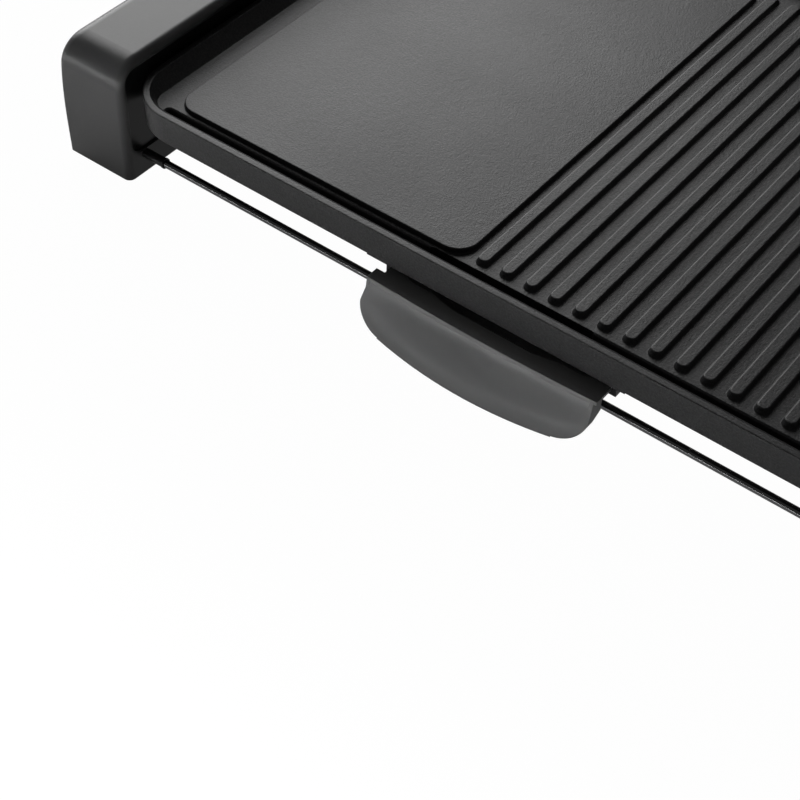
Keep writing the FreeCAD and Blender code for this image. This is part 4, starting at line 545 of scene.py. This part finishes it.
def screw_rings(head, length):
    """Rings of a pan-head screw from its flat top to its tip."""
    shank = head / 2
    recess = head * RECESS_SHARE
    rings = [(RECESS_DEPTH, 0.0)]
    for step in range(1, TOP_STEPS + 1):
        rings.append((0.0, recess * step / TOP_STEPS))
    for step in range(1, HEAD_STEPS + 1):
        angle = math.pi / 2 * step / HEAD_STEPS
        height = HEAD_CROWN * (1 - math.cos(angle))
        rings.append((height, recess + (head - recess) * math.sin(angle)))
    rings += [(HEAD_HEIGHT, head), (HEAD_HEIGHT, shank)]
    turns = int((length - HEAD_HEIGHT - THREAD_RUNOUT) / THREAD_PITCH)
    for step in range(turns):
        rings.append((HEAD_HEIGHT + THREAD_PITCH * (step + 0.5), shank * THREAD_ROOT))
        rings.append((HEAD_HEIGHT + THREAD_PITCH * (step + 1.0), shank))
    rings += [(length, shank * TIP_SHARE), (length, 0.0)]
    return rings


def make_screws(node):
    """Pan-head screws with a cross recess, where the plain ones of the node are."""
    bm = bmesh.new()
    for points in islands(node):
        low = Vector([min(p[k] for p in points) for k in range(3)])
        high = Vector([max(p[k] for p in points) for k in range(3)])
        size = high - low
        axis = max(range(3), key=lambda k: size[k])
        others = [k for k in range(3) if k != axis]
        middle = (low + high) / 2
        head = max(size[k] for k in others) / 2
        rim = [
            p[axis] for p in points
            if math.hypot(*[p[k] - middle[k] for k in others]) > head * HEAD_LIMIT
        ]
        at_low = sum(rim) / len(rim) < middle[axis]
        start, way = (low[axis], 1.0) if at_low else (high[axis], -1.0)

        def to_place(u, v, h):
            spot = Vector((0.0, 0.0, 0.0))
            spot[axis] = start + way * h
            spot[others[0]] = middle[others[0]] + u
            spot[others[1]] = middle[others[1]] + v
            return spot

        def cross(number, angle, radius, height):
            if number <= TOP_STEPS:
                near = min(abs(math.sin(angle)), abs(math.cos(angle))) * radius
                slope = clamp((head * SLOT_HALF - near) / (head * SLOT_SLOPE))
                end = clamp((head * RECESS_SHARE - radius) / (head * SLOT_END))
                height += RECESS_DEPTH * slope * end
            return radius, height

        turned(bm, screw_rings(head, size[axis]), SCREW_SIDES, to_place, cross)
    name = node + "_cross"
    piece(name, "frame", "steel", finished(bm, name), MATERIALS["steel"], node)


make_knob()
make_pointer()
make_dial_marks()
make_lens()
for screw_node in ("base_screws", "bracket_screws", "terminal_screws", "rod_screws"):
    make_screws(screw_node)


# ---------------------------------------------------------------- floor, light and camera
class Tree:
    """An empty node tree of a material or world, with short ways to fill it."""

    def __init__(self, block):
        block.use_nodes = True
        self.tree = block.node_tree
        self.tree.nodes.clear()

    def add(self, kind, **values):
        node = self.tree.nodes.new(kind)
        for name, value in values.items():
            node.inputs[name].default_value = value
        return node

    def maths(self, operation, *values):
        """Maths node over sockets and plain numbers."""
        node = self.tree.nodes.new("ShaderNodeMath")
        node.operation = operation
        for place, value in zip(node.inputs, values):
            if isinstance(value, float):
                place.default_value = value
            else:
                self.tree.links.new(value, place)
        return node.outputs[0]

    def mixed(self, factor, first, second, out_kind):
        """Output of two shaders mixed by a factor."""
        mix = self.add("ShaderNodeMixShader")
        out = self.add(out_kind)
        links = self.tree.links
        links.new(factor, mix.inputs["Fac"])
        links.new(first.outputs[0], mix.inputs[1])
        links.new(second.outputs[0], mix.inputs[2])
        links.new(mix.outputs[0], out.inputs["Surface"])


FLOOR_HALF = 6.0
FLOOR_PAPER = (0.82, 0.82, 0.82, 1)
FLOOR_SEEN = 0.985        # share of plain white that the camera sees, the rest keeps the shadow
FLOOR_MIRRORED = 0.25     # share of plain white in reflections
ROOM_LIGHT = 0.06
PURE_WHITE = (1, 1, 1, 1)


def stage_floor():
    """White paper that keeps the object's shadow."""
    mesh = bpy.data.meshes.new("floor")
    half = FLOOR_HALF
    corners = [(-half, -half, 0), (half, -half, 0), (half, half, 0), (-half, half, 0)]
    mesh.from_pydata(corners, [], [(0, 1, 2, 3)])
    floor = bpy.data.objects.new("floor", mesh)
    SCENE.collection.objects.link(floor)
    material = bpy.data.materials.new("floor_paper")
    tree = Tree(material)
    paper = tree.add("ShaderNodeBsdfDiffuse", Color=FLOOR_PAPER)
    white = tree.add("ShaderNodeEmission", Strength=1.0)
    rays = tree.add("ShaderNodeLightPath").outputs
    mirrored = tree.maths("MULTIPLY", rays["Is Glossy Ray"], FLOOR_MIRRORED)
    seen = tree.maths("MULTIPLY_ADD", rays["Is Camera Ray"], FLOOR_SEEN, mirrored)
    shown = tree.maths("MAXIMUM", seen, rays["Is Transmission Ray"])
    tree.mixed(shown, paper, white, "ShaderNodeOutputMaterial")
    mesh.materials.append(material)


def stage_world():
    """Dim room, white to the camera and through clear pieces."""
    world = bpy.data.worlds.new("studio")
    SCENE.world = world
    tree = Tree(world)
    room = tree.add("ShaderNodeBackground", Color=PURE_WHITE, Strength=ROOM_LIGHT)
    white = tree.add("ShaderNodeBackground", Color=PURE_WHITE, Strength=1.0)
    rays = tree.add("ShaderNodeLightPath").outputs
    shown = tree.maths("MAXIMUM", rays["Is Camera Ray"], rays["Is Transmission Ray"])
    tree.mixed(shown, room, white, "ShaderNodeOutputWorld")


def area_light(name, direction, distance, size, radiance, aim=(0, 0, 0.04), spread=180.0):
    """A soft box whose brightness is given as radiance, at a distance from where it aims."""
    data = bpy.data.lights.new(name, "AREA")
    data.shape = "RECTANGLE"
    data.size, data.size_y = size
    data.energy = radiance * math.pi * size[0] * size[1]
    data.spread = math.radians(spread)
    lamp = bpy.data.objects.new(name, data)
    way = Vector(direction).normalized()
    turn = way.to_track_quat("Z", "Y").to_matrix().to_4x4()
    lamp.matrix_world = Matrix.Translation(Vector(aim) + way * distance) @ turn
    SCENE.collection.objects.link(lamp)


def make_camera():
    data = bpy.data.cameras.new("camera")
    data.sensor_width = 36.0
    data.sensor_fit = "HORIZONTAL"
    data.lens = 77.95
    camera = bpy.data.objects.new("camera", data)
    camera.matrix_world = Matrix((
        (0.7899, -0.4605, 0.4049, 0.31075),
        (0.6129, 0.5713, -0.5458, -0.63723),
        (0.0200, 0.6793, 0.7335, 0.6135),
        (0, 0, 0, 1),
    ))
    SCENE.collection.objects.link(camera)
    SCENE.camera = camera


stage_floor()
stage_world()
# high and low soft boxes at the back left, and one above the table in front, so that the table
# throws light up on the tray's apron
area_light("key", (-0.72, 0.49, 0.50), distance=1.6, size=(1.7, 1.3), radiance=3.1)
area_light("low_edge", (-0.80, 0.55, 0.17), distance=1.9, size=(1.3, 0.42), radiance=2.6)
area_light(
    "table", (0, 0, 1), distance=0.7, size=(2.0, 1.0), radiance=8.4,
    aim=(-0.50, -1.00, 0), spread=46.0,
)
make_camera()
SCENE.view_settings.view_transform = "Standard"
